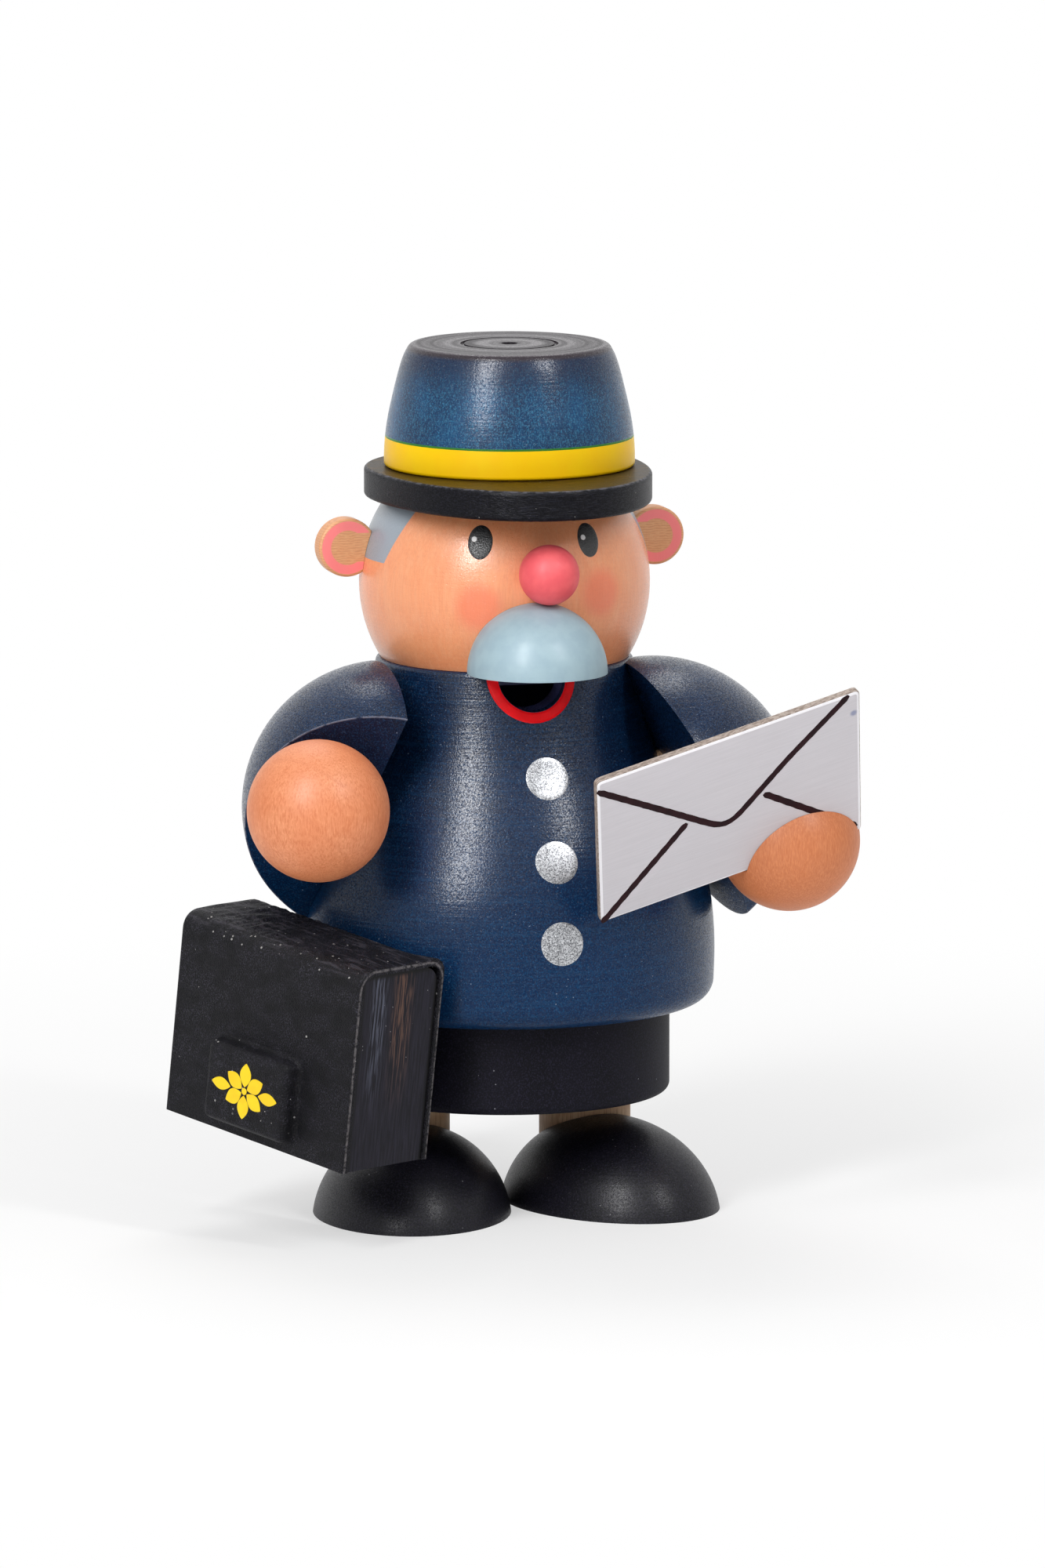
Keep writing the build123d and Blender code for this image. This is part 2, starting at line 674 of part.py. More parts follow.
# Cover: one strip of leather up the outer face, over the top and down the inner face
with BuildPart() as bag_cover:
    with BuildSketch(bag_rear) as cover_profile:
        Rectangle(bag_thickness, bag_height)
        fillet(cover_profile.vertices().group_by(Axis.Y)[-1].sort_by(Axis.X)[0], bag_outer_round)
        fillet(cover_profile.vertices().group_by(Axis.X)[-1].sort_by(Axis.Y)[-1], bag_inner_round)
        with BuildSketch(mode=Mode.PRIVATE) as cover_inside:
            with Locations((0, -bag_height / 2)):
                Rectangle(
                    core_thickness + 2 * glue_film, core_height + glue_film, align=(Align.CENTER, Align.MIN)
                )
            fillet(
                cover_inside.vertices().group_by(Axis.Y)[-1].sort_by(Axis.X)[0],
                bag_outer_round - leather_thickness,
            )
            fillet(
                cover_inside.vertices().group_by(Axis.X)[-1].sort_by(Axis.Y)[-1],
                bag_inner_round - leather_thickness,
            )
        add(cover_inside.sketch, mode=Mode.SUBTRACT)
    extrude(amount=bag_length)
    with BuildSketch(bag_peg_plane):
        Circle(bag_peg_radius + glue_film)
    extrude(amount=bag_peg_length / 2 + glue_film, mode=Mode.SUBTRACT)
bag_cover.part.label = "bag_cover"
export_step(bag_cover.part, "parts/bag_cover.step")

# Pocket on the outer leaf of the cover
pocket_base = Plane(
    origin=bag_rear.origin + bag_out * (bag_thickness / 2 + glue_film),
    x_dir=bag_length_heading,
    z_dir=bag_out,
)
with BuildPart() as bag_pocket:
    with BuildSketch(pocket_base):
        with Locations((pocket_rear_gap, pocket_bottom_gap - bag_height / 2)):
            Rectangle(pocket_length, pocket_height, align=(Align.MIN, Align.MIN))
    extrude(amount=pocket_thickness)
    fillet(bag_pocket.faces().sort_by(Axis(pocket_base.origin, bag_out))[-1].edges(), pocket_round)
bag_pocket.part.label = "bag_pocket"
export_step(bag_pocket.part, "parts/bag_pocket.step")

with BuildPart() as bag_peg:
    with BuildSketch(bag_peg_plane):
        Circle(bag_peg_radius)
    extrude(amount=bag_peg_length / 2, both=True)
bag_peg.part.label = "bag_peg"
export_step(bag_peg.part, "parts/bag_peg.step")
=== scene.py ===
# %% [markdown]
# An incense smoker: a turned wooden figure, about 15 cm tall, that breathes smoke from under
# its moustache. The solid pieces come ready made and in place. This lesson gives them their
# stains, paints and lacquer, and adds what solids leave out: painted eyes and buttons, printed
# lines, soft leather. Lengths are in millimetres until they go into a mesh, in metres.

# %% Load the frame
from math import cos, pi, radians, sin

import bpy
import numpy as np
from mathutils import Matrix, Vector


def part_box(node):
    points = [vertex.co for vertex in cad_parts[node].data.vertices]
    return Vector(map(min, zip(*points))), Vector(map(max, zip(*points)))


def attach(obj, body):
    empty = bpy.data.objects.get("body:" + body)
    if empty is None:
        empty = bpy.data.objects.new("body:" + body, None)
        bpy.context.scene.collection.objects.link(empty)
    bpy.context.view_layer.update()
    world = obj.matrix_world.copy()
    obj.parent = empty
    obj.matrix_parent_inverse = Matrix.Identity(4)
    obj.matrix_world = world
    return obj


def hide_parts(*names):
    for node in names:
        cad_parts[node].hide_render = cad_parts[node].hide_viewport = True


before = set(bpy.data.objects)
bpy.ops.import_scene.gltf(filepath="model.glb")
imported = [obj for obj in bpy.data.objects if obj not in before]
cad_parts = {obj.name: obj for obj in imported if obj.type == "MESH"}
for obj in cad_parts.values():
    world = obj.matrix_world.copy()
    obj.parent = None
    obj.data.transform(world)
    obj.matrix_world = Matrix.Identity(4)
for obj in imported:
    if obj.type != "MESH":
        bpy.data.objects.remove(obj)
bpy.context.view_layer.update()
MM = 0.001


def heading(turn, rise):
    """Unit vector that starts straight ahead (-Y), turns towards +X and climbs, in degrees."""
    flat = cos(radians(rise))
    return np.array([sin(radians(turn)) * flat, -cos(radians(turn)) * flat, sin(radians(rise))])


def standing(*columns):
    """A place in space from its three axes and its point, as a 4 by 4 matrix."""
    return Matrix(np.vstack([np.column_stack(columns), [0, 0, 0, 1]]))


def new_object(name, data):
    """Puts a mesh, a lamp or a camera into the scene."""
    thing = bpy.data.objects.new(name, data)
    bpy.context.scene.collection.objects.link(thing)
    return thing


# %% [markdown]
# The camera stands low and a little to the figure's right, with a long lens, so that turned
# shapes look round and their edges hardly converge. The picture gives its aim: 7.35 pixels of
# the 1333 by 2000 frame to a millimetre, and the pixel where the figure's axis meets the ground.

# %% Camera
frame_size = (1333, 2000)
pixels_per_mm = 7.35
axis_foot_pixel = (643.5, 1535.0)
camera_distance = 2500.0
sensor_long_side = 36.0
back = heading(-16.0, 9.0)
right = heading(90.0 - 16.0, 0.0)
up = np.cross(back, right)
aim = (frame_size[0] / 2 - axis_foot_pixel[0]) / pixels_per_mm * right
aim = aim + (axis_foot_pixel[1] - frame_size[1] / 2) / pixels_per_mm * up
aim = aim - back * (aim[:2] @ back[:2]) / (back[:2] @ back[:2])
eye_point = (aim + back * camera_distance) * MM

camera = new_object("camera", bpy.data.cameras.new("camera"))
camera.data.sensor_width = sensor_long_side
camera.data.lens = sensor_long_side * pixels_per_mm * camera_distance / frame_size[1]
camera.data.clip_start, camera.data.clip_end = 0.1, 20.0
camera.matrix_world = standing(right, up, back, eye_point)
bpy.context.scene.camera = camera
bpy.context.scene.view_settings.view_transform = "Standard"
print("lens", round(camera.data.lens, 2), "aim", np.round(aim, 2))

# %% [markdown]
# A studio for small things: one large soft light high on the left makes the long shine on the
# belly, a second, weaker one on the right gives the other edge, and a bright room fills the
# rest. The room is brighter for the camera and for reflections than as a light, so the
# background is white and the colours stay as they are written.

# %% Light
room_light = 0.36
figure_middle = np.array([0, 0, 0.075])


def join(socket, target):
    """Links an output to an input. A socket knows its tree, so the tree need not be named."""
    socket.id_data.links.new(socket, target)


def put(kind, inputs, **settings):
    """Adds a node beside its sockets. Settings are its options; inputs are linked or set."""
    linked = [value for value in inputs.values() if isinstance(value, bpy.types.NodeSocket)]
    node = linked[0].id_data.nodes.new("ShaderNode" + kind)
    for key, value in settings.items():
        setattr(node, key, value)
    for key, value in inputs.items():
        if isinstance(value, bpy.types.NodeSocket):
            join(value, node.inputs[key])
        else:
            node.inputs[key].default_value = value
    return node


def calc(operation, *values):
    """One step of arithmetic on numbers and sockets."""
    return put("Math", dict(enumerate(values)), operation=operation).outputs[0]


def line(value, slope, start):
    """The straight line: value times slope, plus start."""
    return calc("MULTIPLY_ADD", value, slope, start)


def minus(more, less):
    """The first less the second."""
    return calc("SUBTRACT", more, less)


def seen_directly(tree):
    """1 for rays that show the room itself: from the camera, a mirror or a glass."""
    path = tree.nodes.new("ShaderNodeLightPath").outputs
    rays = calc("MAXIMUM", path["Is Camera Ray"], path["Is Glossy Ray"])
    return calc("MAXIMUM", rays, path["Is Transmission Ray"])


world = bpy.data.worlds.new("studio")
world.use_nodes = True
bpy.context.scene.world = world
room = world.node_tree.nodes["Background"].inputs
room["Color"].default_value = (1, 1, 1, 1)
join(line(seen_directly(world.node_tree), 1 - room_light, room_light), room["Strength"])


def softbox(name, turn, rise, distance, size, watts):
    """An oblong area light that looks at the figure's middle from a turn and a height."""
    lamp = bpy.data.lights.new(name, "AREA")
    lamp.shape, lamp.size, lamp.size_y, lamp.energy = "RECTANGLE", *size, watts
    towards = heading(turn, rise)
    side = heading(turn + 90, 0)
    middle = figure_middle + towards * distance
    thing = new_object(name, lamp)
    thing.matrix_world = standing(side, np.cross(towards, side), towards, middle)
    return thing


softbox("key_light", -44, 37, 0.9, (0.15, 0.62), 4.8)
softbox("side_light", 29, 40, 0.9, (0.08, 0.4), 1.9)
softbox("key_shine", -42, 37, 0.88, (0.27, 0.5), 5.0).visible_diffuse = False
softbox("side_shine", 29, 42, 0.88, (0.12, 0.3), 1.9).visible_diffuse = False
softbox("rear_light", 165, 60, 1.0, (0.6, 0.5), 3.4)

# %% [markdown]
# The floor is a wide pale disc. It could be a bent backdrop, but the figure is looked at from
# all sides, so the disc only fades to the room's white with distance and keeps the shadow.

# %% Floor
floor_radius = 3.0
shadow_radius, white_radius = 0.06, 0.3


def ramp(value, start, end):
    """0 before start and 1 after end, with soft ends."""
    inputs = {0: value, 1: start, 2: end}
    return put("MapRange", inputs, interpolation_type="SMOOTHSTEP").outputs[0]


def measure(operation, *values):
    """A number taken from places: a length, a distance or a dot product."""
    return put("VectorMath", dict(enumerate(values)), operation=operation).outputs["Value"]


turns = np.linspace(0, 2 * pi, 97)[:-1]
floor_rings = np.array([0.2, 0.6, floor_radius])
rim = np.stack([np.cos(turns), np.sin(turns), 0 * turns], -1)
floor_points = (floor_rings[:, None, None] * rim).reshape(-1, 3)
disc = bpy.data.meshes.new("floor")
spot = np.arange(len(floor_points)).reshape(len(floor_rings), -1)
beside = np.roll(spot, -1, 1)
quads = np.stack([spot[:-1], spot[1:], beside[1:], beside[:-1]], -1).reshape(-1, 4)
disc.from_pydata(floor_points.tolist(), [], [spot[0].tolist()] + quads.tolist())
floor = new_object("floor", disc)

paper = bpy.data.materials.new("studio_paper")
paper.use_nodes = True
tree = paper.node_tree
surface = tree.nodes["Principled BSDF"]
surface.inputs["Base Color"].default_value = (0.9, 0.9, 0.9, 1)
surface.inputs["Roughness"].default_value = 0.9
surface.inputs["Specular IOR Level"].default_value = 0.1
glow = tree.nodes.new("ShaderNodeEmission")
reach = measure("LENGTH", tree.nodes.new("ShaderNodeTexCoord").outputs["Object"])
far = line(ramp(reach, shadow_radius, white_radius), 0.5, 0.5)
mixed = put("MixShader", {0: calc("MULTIPLY", far, seen_directly(tree))})
join(surface.outputs[0], mixed.inputs[1])
join(glow.outputs[0], mixed.inputs[2])
join(mixed.outputs[0], tree.nodes["Material Output"].inputs["Surface"])
disc.materials.append(paper)
print("floor", floor_radius, "m across the radius")

# %% [markdown]
# Wood shows its making. Turning leaves fine rings round the axis, stain sits deeper in some
# spots than in others, and short dark flecks mark the pores. Each effect is a node group,
# because several finishes use it with their own values.

# %% Helpers for finishes


def colour(red, green, blue):
    """A colour as seen on a screen, 0 to 255, as the linear values that shaders use."""
    seen = np.array([red, green, blue]) / 255
    linear = np.where(seen <= 0.04045, seen / 12.92, ((seen + 0.055) / 1.055) ** 2.4)
    return (*linear.tolist(), 1.0)


def blend(mask, low, high):
    """Colour that goes from low to high with the mask; both are sockets or screen colours."""
    low, high = (colour(*end) if isinstance(end, tuple) else end for end in (low, high))
    return put("Mix", {0: mask, 6: low, 7: high}, data_type="RGBA").outputs[2]


def times(*values):
    """The product of numbers and sockets."""
    product = values[0]
    for value in values[1:]:
        product = calc("MULTIPLY", product, value)
    return product


def over(base, shade, mask, strength):
    """The base with a shade laid over it where the mask is 1, as opaque as the strength."""
    return blend(times(mask, strength), base, shade)


def slant(a, b):
    """Root of the sum of two squares: the long side over two short ones."""
    return calc("SQRT", calc("ADD", times(a, a), times(b, b)))


def vector(operation, *values):
    """A place worked out from places."""
    return put("VectorMath", dict(enumerate(values)), operation=operation).outputs["Vector"]


def split(place):
    """X, Y and Z of a place, by name."""
    return put("SeparateXYZ", {0: place}).outputs


def off_axis(place, middle=(0.0, 0.0, 0.0)):
    """Distance from the upright axis through a point: the length without its height."""
    aside = vector("SUBTRACT", place, middle)
    return measure("LENGTH", vector("MULTIPLY", aside, (1.0, 1.0, 0.0)))


def between(value, first, second, clamp=True):
    """The straight line through two pairs of a value and its result."""
    inputs = {0: value, 1: first[0], 2: second[0], 3: first[1], 4: second[1]}
    return put("MapRange", inputs, clamp=clamp).outputs[0]


def grain(where, sizes, detail=3.0, distortion=0.0):
    """Noise from 0 to 1 whose spots measure sizes along X, Y and Z."""
    scaled = vector("MULTIPLY", where, [1 / (size * MM) for size in sizes])
    inputs = {"Vector": scaled, "Scale": 1.0, "Detail": detail, "Distortion": distortion}
    return put("TexNoise", inputs).outputs[0]


def pebbles(where, per_metre, **settings):
    """Cells round scattered points, so many to a metre."""
    scaled = put("VectorMath", {0: where, "Scale": per_metre}, operation="SCALE")
    inputs = {"Vector": scaled.outputs[0], "Scale": 1.0}
    return put("TexVoronoi", inputs, **settings).outputs


def new_group(name, inputs, outputs):
    """An empty node group with places (three values) and numbers in, and numbers out."""
    group = bpy.data.node_groups.new(name, "ShaderNodeTree")
    for label, start in inputs.items():
        kind = "NodeSocketFloat" if isinstance(start, float) else "NodeSocketVector"
        socket = group.interface.new_socket(label, in_out="INPUT", socket_type=kind)
        socket.default_value = start
    for label in outputs:
        group.interface.new_socket(label, in_out="OUTPUT", socket_type="NodeSocketFloat")
    ends = [group.nodes.new("NodeGroup" + end) for end in ("Input", "Output")]
    return group, ends[0].outputs, ends[1].inputs


def use_group(group, inputs):
    """The outputs of a group placed in a material."""
    return put("Group", inputs, node_tree=group).outputs


# %% Turning marks
turning, given, made = new_group(
    "turning_marks",
    {"Place": (0, 0, 0), "Ring": 0.3, "Fleck": 1.0},
    ["Height", "Fleck", "Blotch", "Glitter", "Line"],
)
waves_per_metre = 70.0
where = given["Place"]
part = split(where)
swing = [times(part[axis], waves_per_metre) for axis in "XY"]
swing.append(calc("DIVIDE", part["Z"], times(given["Ring"], MM)))
swing = put("CombineXYZ", dict(enumerate(swing))).outputs[0]
rings = put("TexNoise", {"Vector": swing, "Scale": 1.0, "Detail": 1.0}).outputs[0]
pores = grain(where, (0.28, 0.28, 0.4), 2.0)
pits = ramp(grain(where, (0.38, 0.38, 0.32), 2.0), 0.6, 0.7)
height = line(rings, 0.6, times(pores, 0.7))
fleck = ramp(grain(where, (0.24, 0.24, 0.3)), 0.46, 0.7)
for label, socket in {
    "Height": line(pits, -0.7, height),
    "Fleck": times(fleck, given["Fleck"]),
    "Blotch": ramp(grain(where, (6.0, 6.0, 9.0)), 0.3, 0.7),
    "Glitter": ramp(grain(where, (0.3, 0.3, 0.22), 2.0), 0.38, 0.62),
    "Line": ramp(rings, 0.5, 0.72),
}.items():
    join(socket, made[label])

# %% Dust
inputs = {"Place": (0, 0, 0), "Spacing": 2.0, "Size": 0.1}
dust, given, made = new_group("dust", inputs, ["Mask"])
per_metre = calc("DIVIDE", 1.0, times(given["Spacing"], MM))
points = pebbles(given["Place"], per_metre)
chosen = put("SeparateColor", {0: points["Color"]}).outputs
reach = times(calc("DIVIDE", given["Size"], given["Spacing"]), chosen["Green"])
speck = calc("LESS_THAN", points["Distance"], reach)
kept = calc("GREATER_THAN", chosen["Red"], 0.55)
join(times(speck, kept), made["Mask"])

# %% Wood figure
inputs = {"Place": (0, 0, 0), "Pitch": 2.0, "Wander": 3.0}
figure, given, made = new_group("wood_figure", inputs, ["Bands", "Fibres"])
pitch = calc("DIVIDE", 1.0, times(given["Pitch"], MM))
inputs = {"Vector": given["Place"], "Scale": pitch, "Distortion": given["Wander"]}
inputs |= {"Detail": 2.0, "Detail Scale": 0.6}
bands = put("TexWave", inputs, wave_type="BANDS", bands_direction="Z", wave_profile="SIN")
join(bands.outputs[1], made["Bands"])
join(grain(given["Place"], (0.18, 0.18, 3.2)), made["Fibres"])

# %% Cuff rims, worn and with a painted highlight
rim_wear_and_highlight, given, made = new_group(
    "rim_wear_and_highlight",
    {"Place": (0, 0, 0), "Centre": (0, 0, 0), "Facing": (0, 0, 1), "Flat": 7.0, "Ball": 25.0},
    ["Mask"],
)
offset = vector("SUBTRACT", given["Place"], given["Centre"])
far = measure("LENGTH", offset)
along = measure("DOT_PRODUCT", offset, given["Facing"])
off_ball = minus(far, times(given["Ball"], MM))
off_flat = minus(along, times(given["Flat"], MM))
near = ramp(slant(off_ball, off_flat), 0.26 * MM, 0.08 * MM)
patchy = ramp(grain(given["Place"], (1.6, 1.6, 1.6)), 0.3, 0.55)
join(times(near, patchy), made["Mask"])
print("groups:", [group.name for group in bpy.data.node_groups])

# %% [markdown]
# A finish starts from a few words: colour, how wet it looks, how deep its marks are. Lacquer
# is a clear coat over a rougher coloured layer, which is how stained wood looks wet and
# grained at once.

# %% Finishes of the turned pieces


def new_finish(name, roughness, coat=0.0, coat_roughness=0.2, specular=0.4, coat_ior=1.5):
    """A material with its constants set, its shader, and the place in the piece."""
    material = bpy.data.materials.new(name)
    material.use_nodes = True
    tree = material.node_tree
    shader = tree.nodes["Principled BSDF"]
    shader.inputs["Roughness"].default_value = roughness
    shader.inputs["Coat Weight"].default_value = coat
    shader.inputs["Coat Roughness"].default_value = coat_roughness
    shader.inputs["Coat IOR"].default_value = coat_ior
    shader.inputs["Specular IOR Level"].default_value = specular
    return material, shader, tree.nodes.new("ShaderNodeTexCoord").outputs["Object"]


def tint(shader, socket):
    """Gives the shader its colour."""
    join(socket, shader.inputs["Base Color"])


def coated(shader, socket):
    """Gives the shader the weight of its clear coat."""
    join(socket, shader.inputs["Coat Weight"])


def relief(shader, height, depth, coat=False):
    """Height from 0 to 1, as deep as depth, shown by the shader and its coat."""
    bump = put("Bump", {"Height": height, "Distance": depth * MM, "Strength": 1.0})
    for label in ("Normal", "Coat Normal")[: 2 if coat else 1]:
        join(bump.outputs[0], shader.inputs[label])


def specks(place, spacing, size):
    """Mask of dust specks, spacing apart and up to size across, in millimetres."""
    return use_group(dust, {"Place": place, "Spacing": spacing, "Size": size})["Mask"]


def turned(place, ring, fleck=1.0):
    """Turning marks with rings this many millimetres apart and flecks this strong."""
    return use_group(turning, {"Place": place, "Ring": ring, "Fleck": fleck})


def figured(place, pitch, wander):
    """The wood's own figure: growth bands a pitch apart that wander, and fine fibres."""
    return use_group(figure, {"Place": place, "Pitch": pitch, "Wander": wander})


def stained(name, deep, light, pore, roughness, specular, coat, coat_roughness, fleck=1.0):
    """Stained, turned wood: blotches from deep to light, with flecks of the pore colour."""
    material, shader, place = new_finish(name, roughness, coat, coat_roughness, specular, 1.35)
    marks = turned(place, 0.4, fleck)
    base = blend(marks["Blotch"], deep, light)
    coated(shader, line(marks["Glitter"], 0.8 * coat, 0.36 * coat))
    return material, shader, place, marks, blend(marks["Fleck"], base, pore)


# %% Jacket and sleeves
hem_z, shoulder_z = 0.040, 0.088
dull_coat, wet_coat = (0.045, 0.6), (0.075, 1.0)
chamber_radius, sleeve_radius = 21.4, 25.3
cuffs = (
    ((-23.5, -9.4, 72.3), heading(-21.0, -27.4), 7.2),
    ((23.33, -12.0, 71.45), heading(32.0, -10.7), 17.37),
)


def navy_finish(name, lines):
    """The jacket's stain: almost black on the shoulders, bluer and duller towards the hem."""
    material, shader, place, marks, base = stained(
        name, (2, 16, 41), (4, 25, 55), (20, 54, 90), 0.42, 0.1, 1.0, 0.19
    )
    z = split(place)["Z"]
    fresh = blend(marks["Fleck"], (0, 37, 76), (10, 66, 106))
    base = over(base, fresh, ramp(z, shoulder_z, hem_z), 0.75)
    base = over(base, (10, 60, 98), marks["Line"], lines)
    glitter = line(marks["Glitter"], 0.95, 0.22)
    coated(shader, times(glitter, between(z, dull_coat, wet_coat)))
    relief(shader, marks["Height"], 0.045, True)
    base = blend(specks(place, 1.1, 0.12), base, (110, 124, 146))
    return material, shader, place, base


navy, shader, place, base = navy_finish("navy_stain", 0.32)
# Inside the smoke chamber the stain is painted a lighter blue-grey: painted light where the lamps
# hardly reach.
chamber_painted_light = calc("LESS_THAN", off_axis(place), chamber_radius * MM)
tint(shader, blend(chamber_painted_light, base, (64, 70, 116)))

sleeve, shader, place, base = navy_finish("sleeve_stain", 0.12)
# Round each cuff the stain turns pale along the rim: partly wear, partly a painted highlight on
# the rounded edge.
for centre, facing, flat in cuffs:
    inputs = {"Centre": [c * MM for c in centre], "Facing": facing.tolist(), "Flat": flat}
    inputs |= {"Place": place, "Ball": sleeve_radius}
    base = blend(use_group(rim_wear_and_highlight, inputs)["Mask"], base, (104, 108, 126))
tint(shader, base)

# %% Shoes, trousers and brim
black, shader, place, marks, base = stained(
    "black_stain", (5, 5, 11), (10, 9, 19), (36, 34, 47), 0.5, 0.14, 0.35, 0.3, 0.8
)
tint(shader, blend(specks(place, 1.6, 0.14), base, (120, 120, 124)))
relief(shader, marks["Height"], 0.035, True)

matt, shader, place, marks, base = stained(
    "matt_black_stain", (3, 3, 12), (8, 7, 19), (30, 28, 44), 0.6, 0.12, 0.05, 0.4, 0.8
)
tint(shader, blend(specks(place, 1.5, 0.14), base, (110, 110, 118)))
relief(shader, marks["Height"], 0.04)

brim_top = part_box("hat_brim")[1].z
brim, shader, place, marks, base = stained(
    "brim_stain", (3, 3, 8), (7, 7, 12), (24, 24, 33), 0.46, 0.07, 0.26, 0.2, 0.5
)
z = split(place)["Z"]
streaks = ramp(grain(place, (3.5, 0.5, 0.16), 3.0, 0.4), 0.46, 0.7)
base = over(base, (32, 33, 45), streaks, 0.45)
# On the top of the brim the streaks turn amber: a painted reflection of the yellow band above it.
on_top = ramp(z, brim_top - 0.1 * MM, brim_top - 0.02 * MM)
base = over(base, blend(streaks, (34, 24, 2), (84, 60, 6)), on_top, 0.85)
edge = ramp(z, brim_top - 0.35 * MM, brim_top - 0.1 * MM)
edge = times(edge, ramp(z, brim_top, brim_top - 0.02 * MM))
rubbed = ramp(grain(place, (1.2, 1.2, 1.2)), 0.42, 0.6)
base = over(base, (76, 74, 80), edge, rubbed)
tint(shader, blend(specks(place, 1.3, 0.12), base, (150, 148, 142)))
relief(shader, line(streaks, 0.8, marks["Height"]), 0.035, True)
print("stains:", navy.name, sleeve.name, black.name, matt.name, brim.name)

# %% [markdown]
# The hat's crown carries its yellow band as paint, so the band is part of its finish: above a
# height the wood is stained blue, below it lies flat yellow paint, and where they meet a thin
# green line shows. The sawn end on top drinks more stain and is darker.

# %% Hat finish
band_top, band_edge = 134.9, 0.18
crown_low, crown_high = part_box("hat_crown")
crown_middle = tuple((np.array(crown_low) + np.array(crown_high)) / 2)


def near_top(z, start, end):
    """1 near the top of the crown: 0 at start and 1 at end, in millimetres below it."""
    return ramp(z, crown_high.z - start * MM, crown_high.z - end * MM)


hat, shader, place, marks, base = stained(
    "hat_stain", (0, 38, 74), (0, 60, 102), (46, 112, 148), 0.42, 0.12, 1.0, 0.2, 0.8
)
z = split(place)["Z"]
streaks = ramp(grain(place, (0.3, 0.3, 1.8)), 0.5, 0.7)
base = over(base, (62, 128, 160), streaks, 0.28)
base = over(base, (8, 22, 52), near_top(z, 9, 1), 0.85)
radius = put("CombineXYZ", {0: off_axis(place, crown_middle)}).outputs[0]
lathe_rings = grain(radius, (3.0, 1.0, 1.0))
sawn = blend(ramp(lathe_rings, 0.35, 0.65), (14, 8, 16), (52, 44, 52))
base = blend(near_top(z, 1.3, 0.5), base, sawn)
band = calc("LESS_THAN", z, band_top * MM)
yellow = blend(marks["Blotch"], (255, 208, 0), (255, 200, 0))
near_edge = calc("COMPARE", z, band_top * MM, band_edge * MM)
tint(shader, blend(near_edge, blend(band, base, yellow), (44, 118, 34)))
height = times(marks["Height"], line(band, -0.85, 1.0))
relief(shader, line(lathe_rings, 4.0, height), 0.045, True)
dull_rings = line(ramp(lathe_rings, 0.4, 0.6), -0.75, 0.9)
dull = times(near_top(z, 0.5, 0.1), dull_rings)
glitter = line(marks["Glitter"], 0.6, 0.35)
glitter = times(glitter, line(band, -0.7, 1.0))
coated(shader, times(glitter, minus(1.0, dull)))
print("band from", round(crown_low.z / MM, 2), "to", band_top)

# %% [markdown]
# The head, hands, ears and legs are pale wood. The skin is a thin tint that lets the grain
# through. Cheeks are sprayed, so they fade with the distance from their middles. Hair is
# brushed on, so it ends sharply, at an angle from the front that depends on the height.

# %% Skin, hair and cheeks
cheeks = ((-10.99, -22.63, 108.1), (10.81, -22.76, 110.0))
cheek_rim, cheek_core = 5.6, 2.2
hair_front = ((0.1141, radians(73.2)), (0.1232, radians(62.8)))
hair_nape = ((radians(96), 0.1143), (radians(118), 0.1015))


def place_parts(place):
    """X without its sign, Y and Z of the place: the figure's two sides are alike."""
    part = split(place)
    return calc("ABSOLUTE", part["X"]), part["Y"], part["Z"]


skin, shader, place = new_finish("skin_tint", 0.45, 0.85, 0.25, 0.3)
side, ahead, z = place_parts(place)
wood = figured(place, 2.6, 5.0)
marks = turned(place, 0.35)
base = blend(wood["Bands"], (244, 156, 107), (241, 152, 103))
base = blend(marks["Blotch"], base, (246, 162, 113))
upright = ramp(grain(place, (0.7, 0.7, 9.0), 3.0, 0.5), 0.4, 0.7)
base = over(base, (248, 180, 138), upright, 0.28)
base = over(base, (222, 134, 90), ramp(wood["Fibres"], 0.4, 0.7), 0.3)
for cheek in cheeks:
    to_cheek = measure("DISTANCE", place, [c * MM for c in cheek])
    blush = ramp(to_cheek, cheek_rim * MM, cheek_core * MM)
    base = over(base, (244, 118, 82), blush, 0.65)
turn = calc("ARCTAN2", side, times(ahead, -1.0))
behind = calc("GREATER_THAN", turn, between(z, *hair_front, clamp=False))
hair = times(behind, calc("GREATER_THAN", z, between(turn, *hair_nape)))
tint(shader, blend(hair, base, (151, 162, 173)))
height = line(marks["Glitter"], 0.3, marks["Height"])
relief(shader, height, 0.02, True)
coated(shader, line(marks["Glitter"], 0.5, 0.5))
join(line(hair, 0.1, 0.42), shader.inputs["Roughness"])

# %% Hands and legs
hand, shader, place = new_finish("hand_tint", 0.5, 0.08, 0.3)
wood = figured(place, 7.0, 9.0)
base = over((228, 146, 102), (216, 130, 86), wood["Bands"], 0.25)
strands = grain(place, (0.3, 0.3, 2.4), 3.0, 0.3)
base = over(base, (206, 114, 68), ramp(strands, 0.42, 0.66), 0.7)
pale = ramp(grain(place, (0.26, 0.26, 0.7)), 0.5, 0.68)
base = over(base, (246, 172, 124), pale, 0.4)
inputs = {"Vector": place, "Scale": 45.0, "Distortion": 3.0, "Detail": 1.0}
growth = put("TexWave", inputs, wave_type="BANDS", bands_direction="DIAGONAL").outputs[1]
base = over(base, (204, 118, 76), ramp(growth, 0.97, 1.0), 0.22)
base = over(base, (216, 122, 74), turned(place, 0.5)["Blotch"], 0.4)
# The figure's left hand is painted darker, as painted shade, and gets extra paler rays of grain.
shaded_left_hand = calc("GREATER_THAN", split(place)["X"], 0.0)
base = over(base, (192, 108, 60), shaded_left_hand, 0.65)
rays = ramp(grain(place, (0.24, 0.24, 1.5)), 0.44, 0.66)
tint(shader, over(base, (236, 156, 104), times(rays, shaded_left_hand), 0.26))
relief(shader, wood["Fibres"], 0.02)

